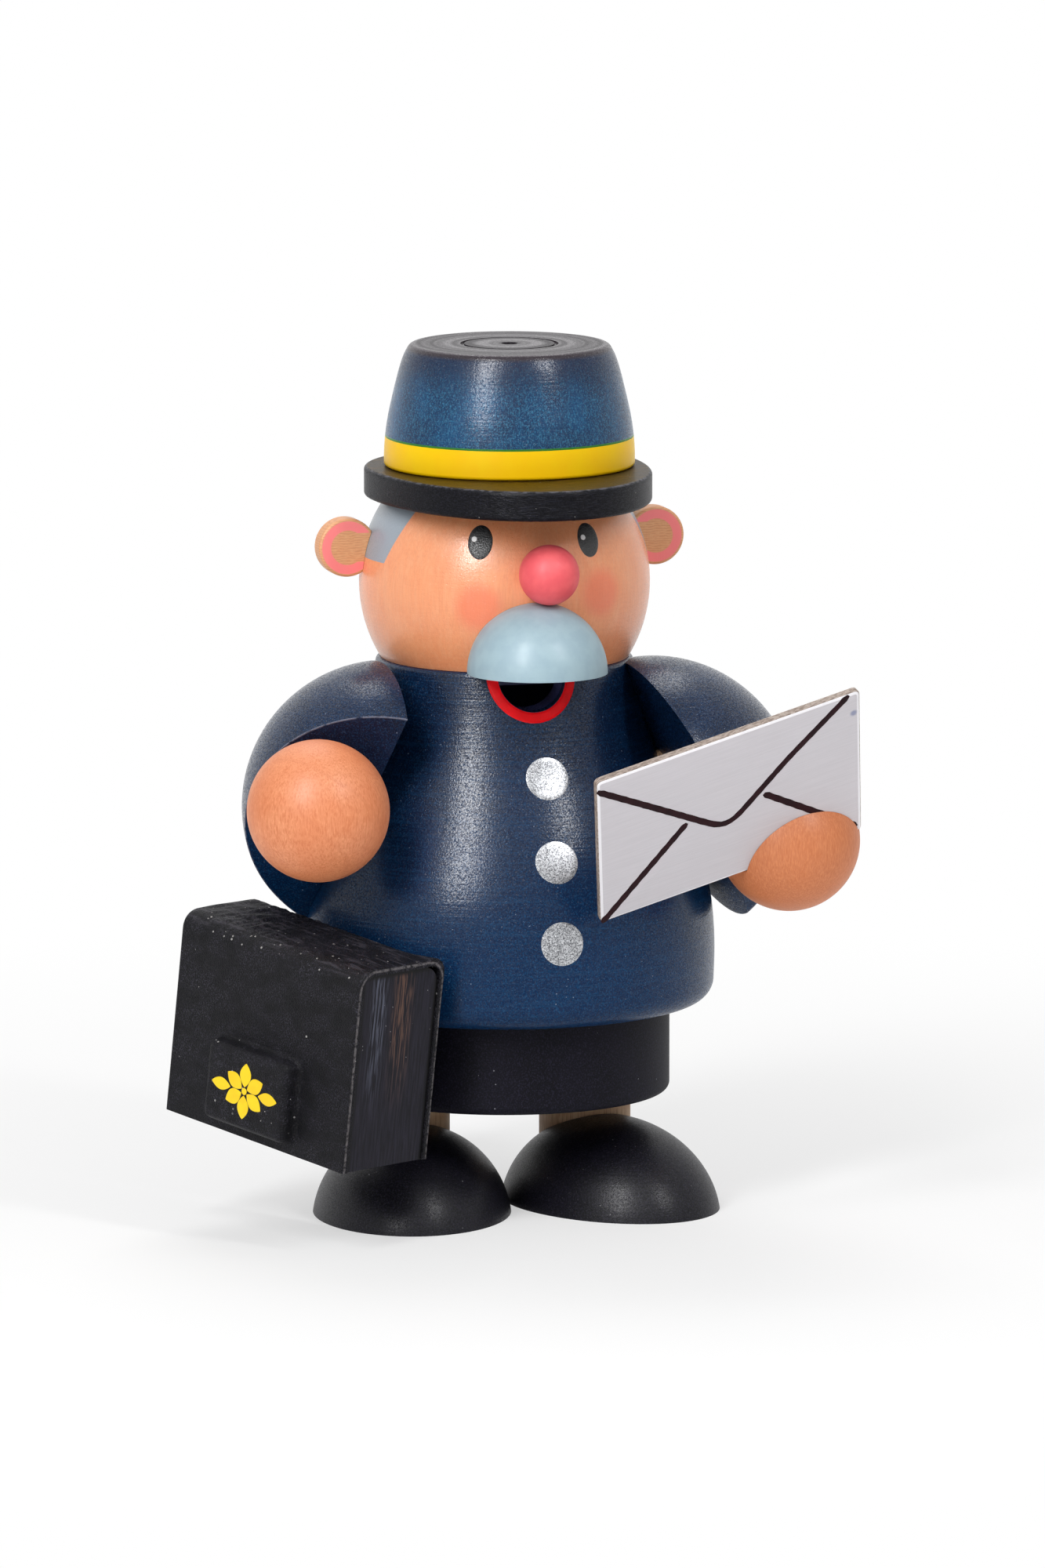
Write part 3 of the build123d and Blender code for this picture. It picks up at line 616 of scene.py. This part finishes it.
bare, shader, place = new_finish("bare_wood", 0.6)
wood = figured(place, 9.0, 3.0)
base = blend(wood["Bands"], (196, 162, 128), (182, 146, 112))
fibres = ramp(wood["Fibres"], 0.45, 0.7)
tint(shader, blend(fibres, base, (160, 124, 94)))
relief(shader, wood["Fibres"], 0.03)

# %% Ears
ear_centre, ear_front = (27.75, 3.0, 116.0), 1.6
pink_radius, hollow_radius, hollow_half = 4.6, 3.0, 2.5

ear, shader, place = new_finish("ear_tint", 0.5, 0.1, 0.3)
side, ahead, z = place_parts(place)
wood = figured(place, 1.4, 6.0)
base = blend(wood["Bands"], (228, 164, 116), (214, 148, 102))
streaks = ramp(grain(place, (1.1, 0.3, 0.22)), 0.45, 0.65)
base = over(base, (232, 176, 128), streaks, 0.7)
aside = minus(side, ear_centre[0] * MM)
above = minus(z, ear_centre[2] * MM)
reach = slant(aside, above)
level = calc("LESS_THAN", calc("ABSOLUTE", above), hollow_half * MM)
in_hollow = times(calc("LESS_THAN", aside, 0.0), level)
in_hollow = calc("MAXIMUM", in_hollow, calc("LESS_THAN", reach, hollow_radius * MM))
on_front = calc("LESS_THAN", ahead, (ear_centre[1] - ear_front) * MM)
pink = times(calc("LESS_THAN", reach, pink_radius * MM), on_front)
pink = times(pink, minus(1.0, in_hollow))
tint(shader, blend(pink, base, (255, 134, 134)))
relief(shader, wood["Fibres"], 0.02)
print("pale woods:", skin.name, hand.name, bare.name, ear.name)

# %% [markdown]
# Opaque paints hide the wood. Even so no paint is one colour: brushed paint varies a little
# in tone, has faint pits, and catches dust.

# %% Paints


def paint(name, light, dark, roughness, coat=0.1, pits=0.01, dusty=0.5, specular=0.4):
    """Opaque paint that varies softly between two close colours, with fine pits."""
    material, shader, place = new_finish(name, roughness, coat, 0.25, specular)
    cloud = ramp(grain(place, (2.5, 2.5, 2.5)), 0.35, 0.65)
    pit = grain(place, (0.25, 0.25, 0.25), 2.0)
    base = blend(cloud, light, dark)
    tint(shader, over(base, dark, ramp(pit, 0.6, 0.8), dusty))
    relief(shader, pit, pits)
    return material


nose_paint = paint("nose_paint", (242, 98, 104), (234, 88, 96), 0.55, 0.05, 0.02)
moustache_paint = paint(
    "moustache_paint", (160, 186, 196), (153, 179, 191), 0.5, 0.14, 0.012, 0.25
)
red_paint = paint("mouth_ring_paint", (255, 0, 18), (238, 0, 14), 0.4, specular=0.15)
glint_paint = paint("glint_paint", (250, 250, 250), (238, 238, 238), 0.4)
yellow_print = paint("yellow_print", (255, 218, 0), (250, 208, 0), 0.5)
line_ink = paint("line_ink", (44, 18, 24), (34, 14, 20), 0.6, 0.0, specular=0.1)

eye_paint, shader, place = new_finish("eye_paint", 0.36, 1.0, 0.33, 0.2, 1.42)
marks = turned(place, 0.45)
tint(shader, blend(marks["Fleck"], (10, 10, 14), (28, 28, 32)))
relief(shader, calc("ADD", marks["Height"], marks["Glitter"]), 0.035, True)

# %% Metals
silver, shader, place = new_finish("glitter_silver", 0.34)
flakes = pebbles(place, 1 / (0.16 * MM))
sparkle = put("SeparateColor", {0: flakes["Color"]}).outputs["Red"]
tint(shader, blend(sparkle, (92, 94, 98), (212, 214, 218)))
shader.inputs["Metallic"].default_value = 0.75
relief(shader, sparkle, 0.05)

metals = {}
for name, light, dark, roughness in (
    ("plain_steel", (196, 198, 200), (170, 172, 176), 0.35),
    ("sheet_brass", (214, 178, 104), (190, 150, 84), 0.32),
):
    metals[name], shader, place = new_finish(name, roughness)
    shader.inputs["Metallic"].default_value = 1.0
    streak = grain(place, (3.0, 0.12, 0.12), 2.0)
    tint(shader, blend(streak, light, dark))
    relief(shader, streak, 0.004)
print("materials so far:", len(bpy.data.materials))

# %% [markdown]
# Leather and board follow their own directions, not the figure's: the bag hangs turned and
# tipped, and the envelope leans. Both patterns are laid out along the piece by three dot
# products with its own axes.

# %% Axes of the bag and the envelope
bag_long = heading(29.2, -7.5)
bag_out = heading(29.2 - 90, 0)
bag_axes = (bag_out, bag_long, np.cross(bag_out, bag_long))
card_out = heading(14.2, -31.9)
card_up = np.cross(card_out, heading(94.4, 15.95))
card_up = card_up / np.linalg.norm(card_up)
card_axes = (np.cross(card_up, card_out), card_up, card_out)


def mesh_points(node):
    """The corners of a solid piece's mesh, in millimetres, one to a row."""
    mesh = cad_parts[node].data
    flat = np.zeros(len(mesh.vertices) * 3)
    mesh.vertices.foreach_get("co", flat)
    return flat.reshape(-1, 3) / MM


def local_box(node, axes):
    """Lowest and highest reach of a node along each of three axes of its own, in millimetres."""
    along = mesh_points(node) @ np.array(axes).T
    return along.min(0), along.max(0)


def own_place(place, axes):
    """The place measured along a piece's own three axes."""
    parts = [measure("DOT_PRODUCT", place, tuple(axis)) for axis in axes]
    return put("CombineXYZ", dict(enumerate(parts))).outputs[0]


def inside_by(value, low, high):
    """How far a value lies inside the nearer of two limits given in millimetres."""
    return calc("MINIMUM", minus(value, low * MM), minus(high * MM, value))


bag_low, bag_high = local_box("bag_cover", bag_axes)
core_low, core_high = local_box("bag_core", bag_axes)
card_low, card_high = local_box("envelope", card_axes)
print("bag", np.round(bag_high - bag_low, 1), "card", np.round(card_high - card_low, 1))

# %% Leather
strip_bend, strip_middle = 3.8, 0.42

leather, shader, place = new_finish("black_leather", 0.5, 0.0, 0.3, 0.16)
own = own_place(place, bag_axes)
parts = split(own)
pebble = pebbles(own, 1 / (0.42 * MM), feature="DISTANCE_TO_EDGE")
creases = ramp(pebble["Distance"], 0.0, 0.18)
mottle = grain(own, (3.0, 3.0, 3.0), 4.0)
folds = grain(own, (0.9, 5.0, 0.7), 3.0, 0.6)
base = blend(ramp(mottle, 0.35, 0.65), (3, 3, 8), (13, 12, 19))
# The lines between the pebbles of the grain are painted darker: painted shade in the creases.
base = blend(creases, (4, 4, 8), base)
scuffs = ramp(grain(own, (0.26, 0.26, 0.26), 2.0), 0.5, 0.68)
scuffs = times(scuffs, ramp(grain(own, (4.0, 5.0, 3.0)), 0.36, 0.6))
base = over(base, (66, 64, 76), scuffs, 0.6)
# Over the top the crests of the wrinkles are painted paler: a painted highlight where they catch
# the light.
over_top = ramp(parts["Z"], (bag_high[2] - 2.5) * MM, (bag_high[2] - 0.6) * MM)
ridge_highlights = times(ramp(folds, 0.5, 0.62), over_top)
base = over(base, (64, 62, 70), ridge_highlights, 0.6)

# The pale fibres of the cut front edge: a line along the middle of the strip's thickness.
from_side = inside_by(parts["X"], bag_low[0], bag_high[0])
past_side = minus(strip_bend * MM, from_side)
past_top = minus(parts["Z"], (bag_high[2] - strip_bend) * MM)
corner = [calc("MAXIMUM", past, 0.0) for past in (past_side, past_top)]
in_section = minus(strip_bend * MM, slant(*corner))
off_line = calc("ABSOLUTE", minus(in_section, strip_middle * MM))
from_front = minus(bag_high[1] * MM, parts["Y"])
fibre = times(
    ramp(from_front, 0.4 * MM, 0.2 * MM),
    ramp(off_line, 0.3 * MM, 0.1 * MM),
    ramp(grain(own, (0.7, 0.7, 0.7)), 0.3, 0.6),
)
base = over(base, (112, 108, 110), fibre, 0.75)
clusters = ramp(grain(own, (5.0, 7.0, 4.0), 2.0), 0.42, 0.56)
fine = times(specks(own, 0.9, 0.23), clusters, 0.7)
dusty = calc("MAXIMUM", fine, specks(own, 4.4, 0.2))
tint(shader, blend(dusty, base, (190, 188, 186)))
height = line(creases, 0.7, times(mottle, 1.2))
relief(shader, line(folds, 1.4, height), 0.08)

# %% Wood of the bag
worn_stripes = ((0.44, 3.2, (104, 76, 62)), (0.76, 2.4, (92, 96, 112)))

bag_wood, shader, place = new_finish("bag_wood", 0.48, 0.0, 0.3, 0.18)
own = own_place(place, bag_axes)
parts = split(own)
stripe = grain(own, (0.4, 0.4, 6.0), 3.0, 0.2)
base = blend(ramp(stripe, 0.3, 0.7), (12, 11, 20), (32, 30, 42))
upper = ramp(parts["Z"], (core_low[2] + 8) * MM, (core_high[2] - 8) * MM)
for share, half, shade in worn_stripes:
    middle = (core_low[0] + share * (core_high[0] - core_low[0])) * MM
    off_line = calc("ABSOLUTE", minus(parts["X"], middle))
    worn = times(ramp(off_line, half * MM, 0.3 * half * MM), upper)
    base = over(base, shade, times(worn, ramp(stripe, 0.44, 0.62)), 0.75)
# The end turns near black within about a millimetre of its sides and top, along the leather.
inset = inside_by(parts["X"], core_low[0], core_high[0])
inset = calc("MINIMUM", inset, minus(core_high[2] * MM, parts["Z"]))
base = blend(ramp(inset, 0.2 * MM, 1.1 * MM), (7, 7, 9), base)
tint(shader, blend(specks(own, 1.3, 0.11), base, (150, 150, 152)))
relief(shader, stripe, 0.05)

# %% Board
bevel_width, bevel_depth = 0.85, 0.3
pulp_half = 0.53
smudge_along, smudge_up = 48.5, 29.3

board, shader, place = new_finish("coated_board", 0.42, 0.0, 0.3)
own = own_place(place, card_axes)
brushed = grain(own, (9.0, 0.35, 2.0))
base = blend(ramp(brushed, 0.3, 0.7), (207, 203, 208), (212, 208, 213))
front = split(own)["Z"]
# The bevel above the flat is painted near white: a painted highlight on the rounded front edge.
bevel_middle = (card_high[2] - 0.5 * bevel_depth - 0.05) * MM
bevel_highlight = calc("COMPARE", front, bevel_middle, 0.5 * bevel_depth * MM)
base = blend(bevel_highlight, base, (246, 244, 248))
pulp = ramp(grain(own, (0.8, 0.5, 0.2)), 0.4, 0.6)
pulp = blend(pulp, (128, 112, 102), (172, 158, 148))
core = calc("COMPARE", front, (card_low[2] + pulp_half) * MM, pulp_half * MM)
base = blend(core, base, pulp)
smudge = card_low[0] + smudge_along, card_low[1] + smudge_up, card_high[2]
to_smudge = measure("DISTANCE", own, [float(step) * MM for step in smudge])
smudged = ramp(to_smudge, 0.9 * MM, 0.3 * MM)
tint(shader, over(base, (70, 90, 150), smudged, 0.6))
relief(shader, brushed, 0.003)
print("soft finishes:", leather.name, bag_wood.name, board.name)

# %% Give every solid piece its finish
finishes = {
    navy: "jacket",
    sleeve: "sleeve_left sleeve_right",
    black: "shoe_left shoe_right",
    brim: "hat_brim",
    matt: "trousers",
    hat: "hat_crown",
    skin: "head",
    hand: "hand_left hand_right",
    ear: "ear_left ear_right",
    bare: "leg_left leg_right neck_dowel hat_dowel bag_peg "
    "sleeve_peg_left sleeve_peg_right hand_peg_left hand_peg_right",
    nose_paint: "nose",
    moustache_paint: "moustache",
    metals["plain_steel"]: "plate_nail",
    metals["sheet_brass"]: "cone_plate",
    bag_wood: "bag_core",
    leather: "bag_cover bag_pocket",
    board: "envelope",
}
for finish, names in finishes.items():
    for name in names.split():
        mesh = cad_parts[name].data
        mesh.materials.clear()
        mesh.materials.append(finish)
print("nodes with a finish:", sum(len(names.split()) for names in finishes.values()))

# %% [markdown]
# New pieces are closed solids worked out with numpy. Two builders are enough. One joins
# closed loops, from a point at the first loop to a point at the last, as a potter's coil pot;
# the other joins an outer and an inner sheet along their edges. Both turn their faces outwards
# by the sign of the volume.

# %% Builders
turns = np.linspace(0, 2 * pi, 65)[:-1]


def signed_volume(points, faces):
    """Six times the volume that the faces enclose, below 0 where they point inwards.

    It sums a x b . c over the faces' triangles, whose corners are arrows a, b, c from 0.
    """
    a, b, c, *fourth = points[faces.T]
    volume = np.sum(np.cross(a, b) * c)
    return volume + sum(np.sum(np.cross(a, c) * d) for d in fourth)


def solid_from_loops(loops):
    """Points and faces of a solid whose loops (rows of points) go from one pole to the other."""
    count, size = loops.shape[:2]
    points = np.vstack([loops[0].mean(0), loops[1:-1].reshape(-1, 3), loops[-1].mean(0)])
    spot = 1 + np.arange((count - 2) * size).reshape(-1, size)
    beside = np.roll(spot, -1, 1)
    quads = np.stack([spot[:-1], beside[:-1], beside[1:], spot[1:]], -1).reshape(-1, 4)
    start = np.stack([0 * spot[0], beside[0], spot[0]], -1)
    end = np.stack([0 * spot[0] + len(points) - 1, spot[-1], beside[-1]], -1)
    return points, [quads, np.vstack([start, end])]


def solid_from_sheets(outer, inner):
    """Points and faces between two sheets of the same grid, closed along their four edges."""
    rows, columns = outer.shape[:2]
    points = np.vstack([outer.reshape(-1, 3), inner.reshape(-1, 3)])
    shift = rows * columns
    spot = np.arange(shift).reshape(rows, columns)
    first = spot[:-1, :-1].ravel()
    face = np.stack([first, first + 1, first + columns + 1, first + columns], -1)
    edge = np.concatenate([spot[0, :-1], spot[:-1, -1], spot[-1, :0:-1], spot[:0:-1, 0]])
    beside = np.roll(edge, -1)
    wall = np.stack([beside, edge, edge + shift, beside + shift], -1)
    return points, [np.vstack([face, face[:, ::-1] + shift, wall])]


def add_piece(name, solids, finish, body="figure", crease=35.0):
    """One object from one or more solids, smooth but for edges sharper than crease."""
    points, faces, start = [], [], 0
    for solid_points, solid_faces in solids:
        volume = sum(signed_volume(solid_points, part) for part in solid_faces)
        for part in solid_faces:
            faces += (part[:, :: 1 if volume > 0 else -1] + start).tolist()
        points.append(solid_points)
        start += len(solid_points)
    mesh = bpy.data.meshes.new(name)
    mesh.from_pydata((np.vstack(points) * MM).tolist(), [], faces)
    mesh.shade_smooth()
    mesh.set_sharp_from_angle(angle=radians(crease))
    mesh.materials.append(finish)
    piece = new_object(name, mesh)
    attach(piece, body)
    print(name, len(mesh.vertices), "points")
    return piece


def circle(radius):
    """Both coordinates of a circle round 0, at the turns of every film."""
    return radius * np.cos(turns), radius * np.sin(turns)


def film_loops(rim_u, rim_v, edge=0.12, rows=10):
    """Flat coordinates and lift share of a film: out from the middle to the rim, then under.

    u and v run from 0 to the rim with the row's share; the lift is 1 over the film and falls to
    0 in the last share called edge, as wet paint thins at its border.
    """
    out = np.append(np.linspace(0, 1, rows), [1, 0])[:, None]
    lift = np.clip((1 - out) / edge, 0, 1) ** 0.5
    lift[-2:] = -1
    return out * rim_u, out * rim_v, lift + 0 * rim_u


# %% [markdown]
# Buttons and the ring round the mouth are paint on the jacket. Their films need the jacket's
# radius at every height, and the jacket itself gives it: the outermost points of its mesh are
# its turned outline.

# %% Buttons and mouth ring
film_thickness = 0.08
button_radius = 3.75
button_heights = (78.7, 65.0, 51.4)
mouth_centre = (-1.3, 95.7)
mouth_rims = (5.95, 7.75)
ring_lift, ring_root = 0.12, 0.1
least_radius = 21.5

corners = mesh_points("jacket")
from_axis = np.hypot(corners[:, 0], corners[:, 1])
outside = corners[(from_axis > 20) & (corners[:, 1] < -0.8 * from_axis)]
levels = np.round(outside[:, 2], 2)
heights = np.unique(levels)
outline = np.zeros(len(heights))
np.maximum.at(outline, np.searchsorted(heights, levels), np.hypot(outside[:, 0], outside[:, 1]))
kept = outline > least_radius
heights, outline = heights[kept], outline[kept]
print("jacket outline from", len(heights), "heights")


def on_jacket(x, z, lift):
    """Point of the jacket's front at x and z, pushed outwards by lift."""
    radius = np.interp(z, heights, outline) + lift
    return np.stack([x, -np.sqrt(np.maximum(radius**2 - x**2, 0)), z], -1)


for number, button_z in enumerate(button_heights, 1):
    above, below = np.interp([button_z + 3, button_z - 3], heights, outline)
    slope = (above - below) / 6
    u, v, lift = film_loops(*circle(button_radius))
    loops = on_jacket(u, button_z + v / np.hypot(1, slope), film_thickness * lift)
    add_piece(f"button_{number}", [solid_from_loops(loops)], silver)

sweep = np.linspace(radians(183), radians(357), 90)[:, None]
across = np.linspace(0, 1, 9)[None]
radius = mouth_rims[0] + (mouth_rims[1] - mouth_rims[0]) * across
ring_x = mouth_centre[0] + radius * np.cos(sweep)
ring_z = mouth_centre[1] + radius * np.sin(sweep)
swell = np.sqrt(1 - (2 * across - 1) ** 4) + 0 * sweep
sheets = [on_jacket(ring_x, ring_z, lift) for lift in (ring_lift * swell, 0 * swell - ring_root)]
add_piece("mouth_ring", [solid_from_sheets(*sheets)], red_paint)

# %% [markdown]
# The eyes are dots of glossy paint on the ball of the head, each with a white glint. A film on
# a ball starts flat, round its own middle, and is then pressed onto the ball.

# %% Eyes
head_centre = np.array([0.0, 0.0, 109.5])
head_radius = 25.2
eyes = (("left", 22.2, 119.1, 7.0), ("right", -26.2, 119.3, 0.0))
eye_size = (2.15, 3.08)
glint_shift, glint_radius = (-1.05, 0.5), 0.48


def on_head(middle, u, v, lift):
    """Point of the head near a middle direction, u sideways and v up along the ball."""
    sideways = np.cross([0, 0, 1], middle)
    sideways = sideways / np.linalg.norm(sideways)
    upwards = np.cross(middle, sideways)
    point = head_radius * middle + u[..., None] * sideways + v[..., None] * upwards
    point = point / np.linalg.norm(point, axis=-1, keepdims=True)
    return head_centre + point * (head_radius + lift)[..., None]


for side_name, turn, eye_z, lean in eyes:
    middle = heading(turn, np.degrees(np.arcsin((eye_z - head_centre[2]) / head_radius)))
    rim_u, rim_v = eye_size[0] * np.cos(turns), eye_size[1] * np.sin(turns)
    c, n = cos(radians(lean)), sin(radians(lean))
    u, v, lift = film_loops(rim_u * c + rim_v * n, rim_v * c - rim_u * n)
    eye = solid_from_loops(on_head(middle, u, v, film_thickness * lift))
    add_piece(f"eye_{side_name}", [eye], eye_paint)
    u, v, lift = film_loops(*circle(glint_radius))
    lift = film_thickness * (1.8 + 0.8 * lift)
    glint = solid_from_loops(on_head(middle, u + glint_shift[0], v + glint_shift[1], lift))
    add_piece(f"eye_glint_{side_name}", [glint], glint_paint)

# %% [markdown]
# The envelope is a stamped piece of white board. Stamping rounds its front edges into a bevel
# above the flat, and the bevel's near white colour is a painted highlight. The lines of the flaps
# are ink: ribbons that follow a path, a hair thicker than the board, given along the board's own
# length and height.

# %% Envelope
corner_round, deepest_inset = 1.1, 1.0
ink_width = 1.3
ink_lift = 0.06
ink_lines = (
    ((0.15, 32.1), (12.0, 22.4), (20.2, 15.6), (22.6, 13.7))
    + ((24.4, 13.3), (26.1, 14.3), (36.0, 24.0), (47.6, 33.9)),
    ((0.3, 0.2), (16.7, 17.0)),
    ((31.3, 17.5), (48.8, 1.6)),
)


def rounded_rim(width, height, inset, corner):
    """Rim of a rectangle with round corners, from (0, 0) to (width, height), moved in by inset.

    Each quarter turn goes round its own corner's middle, with the corner's radius less the inset.
    """
    angle = (np.linspace(0, pi / 2, 7) + np.arange(4)[:, None] * pi / 2).ravel()
    x = width / 2 + np.repeat([1, -1, -1, 1], 7) * (width / 2 - corner)
    y = height / 2 + np.repeat([1, 1, -1, -1], 7) * (height / 2 - corner)
    return x + (corner - inset) * np.cos(angle), y + (corner - inset) * np.sin(angle)


def along_axes(axes, *steps):
    """Points given by their steps along three axes of a piece."""
    return sum(np.asarray(step, float)[..., None] * axis for step, axis in zip(steps, axes))


width, height, thickness = card_high - card_low
depths = [-thickness, -thickness, -bevel_depth - 0.1, -bevel_depth, -0.12, -0.03, 0, 0]
depths = thickness + np.array(depths)
insets = np.array([9, 0.08, 0, 0.04, 0.4, 0.68, bevel_width, 9])
loops = []
for inset, depth in zip(insets, depths):
    x, y = rounded_rim(width, height, min(inset, deepest_inset), corner_round)
    loops.append(along_axes(card_axes, card_low[0] + x, card_low[1] + y, card_low[2] + depth))
card = add_piece("envelope_board", [solid_from_loops(np.array(loops))], board, crease=50)
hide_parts("envelope")


def ink_ribbon(path):
    """A ribbon along a path on the board: each point moves sideways by its share of the width.

    The path is stepped evenly, its bends are averaged three times, and both ends are rounded.
    """
    path = np.array(path)
    run = np.concatenate([[0], np.cumsum(np.hypot(*np.diff(path, axis=0).T))])
    fine = np.linspace(0, run[-1], 60)
    way = np.stack([np.interp(fine, run, path[:, i]) for i in (0, 1)], -1)
    for _ in range(3):
        way[1:-1] = (way[:-2] + 2 * way[1:-1] + way[2:]) / 4
    step = np.gradient(way, axis=0)
    normal = np.stack([-step[:, 1], step[:, 0]], -1) / np.hypot(*step.T)[:, None]
    end = np.minimum(fine, run[-1] - fine)
    half = ink_width / 2 * np.sqrt(np.clip(end / (ink_width / 2), 0.25, 1))
    half = half * (1 + 0.06 * np.sin(fine * 2.3))
    across = np.linspace(-1, 1, 7)
    spot = way[:, None] + normal[:, None] * (half[:, None] * across)[..., None]
    x, y = card_low[0] + spot[..., 0], card_low[1] + spot[..., 1]
    swell = ink_lift * np.sqrt(1 - 0.96 * across**2)
    top = along_axes(card_axes, x, y, card_high[2] + swell)
    return solid_from_sheets(top, along_axes(card_axes, x, y, card_high[2] - ink_lift))


ribbons = [ink_ribbon(path) for path in ink_lines]
add_piece("envelope_lines", ribbons, line_ink)

# %% [markdown]
# The bag is a wooden block that wears one strip of leather, glued up the outer face, over the
# top and down the inner face. It could be a bevelled box, but a real strip shows how it was
# put on: its ends stand a little proud of the block, its corners are softly round, it has slid
# up at the inner front corner, and it wrinkles over the rear of the top. So the strip is a
# profile, carried along the bag, and small formulas push its outer sheet out.

# %% Bag leather
leather_thickness = 1.2
outer_round, inner_round = 3.2, 4.6


def strip_profile(inset):
    """Path up the outer face, over the top and down the inner one, moved in by inset.

    Columns are out, up and the outward direction's two parts.
    """
    out_high, out_low, top = bag_high[0] - inset, bag_low[0] + inset, bag_high[2] - inset
    first, second = outer_round - inset, inner_round - inset
    bend = np.linspace(0, pi / 2, 9)
    c, s = np.cos(bend), np.sin(bend)
    rise = np.linspace(bag_low[2], top - first, 15)[:-1]
    over = np.linspace(out_high - first, out_low + second, 9)[1:-1]
    fall = np.linspace(top - second, bag_low[2], 14)[1:]
    runs = (
        (out_high, rise, 1, 0),
        (out_high - first * (1 - c), top - first * (1 - s), c, s),
        (over, top, 0, 1),
        (out_low + second * (1 - s), top - second * (1 - c), -s, c),
        (out_low, fall, -1, 0),
    )
    return np.vstack([np.stack(np.broadcast_arrays(*run), -1) for run in runs])


edge_steps = np.array([0, 0.06, 0.18, 0.4, 0.8])
length = bag_high[1] - bag_low[1]
way = np.linspace(1.4, length - 1.4, 70)
way = np.concatenate([edge_steps, way, (length - edge_steps)[::-1]])
from_end = np.minimum(way, length - way)
outer, inner = strip_profile(0.0), strip_profile(leather_thickness)
share = np.linspace(0, 1, len(outer))[:, None]
to_front = way[None] / length
on_top = np.clip(outer[:, 3:4], 0, 1)
ripple = np.sin(way * 2.1 + 9 * share) * np.sin(way * 0.83 + 31 * share + 1)
ripple = ripple + 0.6 * np.sin(way * 3.7 - 40 * share)
wrinkles = 0.2 * on_top**2 * np.exp(-(((to_front - 0.22) / 0.26) ** 2)) * ripple
slump = -0.22 * np.exp(-(((to_front - 0.5) / 0.3) ** 2) - ((share - 0.4) / 0.08) ** 2)
slipped = 1.1 * np.exp(-(((1 - to_front) / 0.1) ** 2) - ((share - 0.665) / 0.05) ** 2)
wander = 0.03 * np.sin(way * 0.31 + 5 * share) * np.sin(way * 0.17 - 11 * share)
rounding = -0.4 * (1 - np.sqrt(1 - np.clip(1 - from_end / 0.4, 0, 1) ** 2))
push = wrinkles + slump + slipped + wander + rounding - 0.05
pull = 0.7 * slipped


def bag_sheet(profile, push):
    """Grid of points: the profile along the bag, pushed outwards."""
    out = profile[:, 0:1] + profile[:, 2:3] * push
    rise = profile[:, 1:2] + profile[:, 3:4] * push
    return along_axes(bag_axes, out, bag_low[1] + way, rise)


strip = solid_from_sheets(bag_sheet(outer, push), bag_sheet(inner, pull))
cover = add_piece("bag_leather", [strip], leather, crease=60)
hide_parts("bag_cover")

# %% [markdown]
# A second small block sits under a patch of the same leather on the outer face. Damp leather
# shrinks onto a block but bridges its foot, so the foot flares out into the face in a hollow
# curve. The patch is a stack of rounded rims, wide at the foot and tight above.

# %% Pocket
pocket_low, pocket_high = local_box("bag_pocket", bag_axes)
pocket_round, pocket_bevel = 1.5, 1.2
flare = 1.3


def pocket_rim(grow, level):
    """Rounded rim of the pocket, grown sideways, at a level above the bag's face.

    It is moved in as far as its corners allow and shrinks towards its middle from there, and
    each of its sides is cut into four even steps.
    """
    size = (pocket_high - pocket_low)[1:]
    kept = max(grow, -pocket_bevel)
    rim = np.stack(rounded_rim(*size, -kept, pocket_round), -1)
    rim = size / 2 + (rim - size / 2) * (1 - (kept - grow) / 5)
    dense = np.linspace(0, 1, 5)[:-1, None]
    rim = (rim[:, None] * (1 - dense) + np.roll(rim, -1, 0)[:, None] * dense).reshape(-1, 2)
    return along_axes(bag_axes, pocket_low[0] + level, *(pocket_low[1:] + rim).T)


bend = np.linspace(0, 1, 7)
top_level = pocket_high[0] - pocket_low[0]
foot, shoulder = flare * (1 - bend) ** 1.3, -pocket_bevel * (1 - np.cos(bend * pi / 2))
foot_level, shoulder_level = 1.37 * bend**3 - 0.1, 1.27 + (top_level - 1.3) * np.sin(bend * pi / 2)
grows = [flare - 2, flare - 0.5, *foot, *shoulder[1:], -2.4, -4.5, -5.5]
levels = [-0.5, -0.5, *foot_level, *shoulder_level[1:], *[top_level] * 3]
patch = solid_from_loops(np.array([pocket_rim(*pair) for pair in zip(grows, levels)]))
pocket = add_piece("pocket_leather", [patch], leather, crease=60)
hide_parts("bag_pocket")

# %% [markdown]
# On the pocket stands a small yellow ornament, a rosette of six petals with a leaf on each
# side, as folk painters draw it with a pair of compasses. Every petal is a pointed oval: two
# arcs that meet at its ends.

# %% Rosette
petal_size, leaf_size = (4.2, 1.35, 0.75), (4.6, 1.1, 3.4)  # length, half width, start
dot_radius = 0.62
print_lift = 0.06
half_turn = np.linspace(0, 1, 25)[:-1]


def pointed_oval(length, half_width, start, turn):
    """Rim of a pointed oval that runs outwards from start at a turn in degrees, in two arcs."""
    there = np.concatenate([half_turn, 1 - half_turn])
    side = np.repeat([1, -1], len(half_turn)) * half_width * np.sin(there * pi) ** 0.85
    out = (there - 0.5) * length
    middle = start + length / 2
    c, n = cos(radians(turn)), sin(radians(turn))
    return (c * out - n * side, n * out + c * side), (c * middle, n * middle)


def print_film(rim, middle):
    """A thin film on the pocket's outer face, round its own middle."""
    u, v, lift = film_loops(*rim, 0.2)
    centre = (pocket_low + pocket_high) / 2
    x, y = centre[1] + middle[0] + u, centre[2] + middle[1] + v
    return solid_from_loops(along_axes(bag_axes, pocket_high[0] + print_lift * lift, x, y))


shapes = [pointed_oval(*petal_size, turn) for turn in range(90, 450, 60)]
shapes += [pointed_oval(*leaf_size, turn) for turn in (0, 180)]
shapes += [(circle(dot_radius), (0, 0))]
add_piece("rosette", [print_film(rim, middle) for rim, middle in shapes], yellow_print)
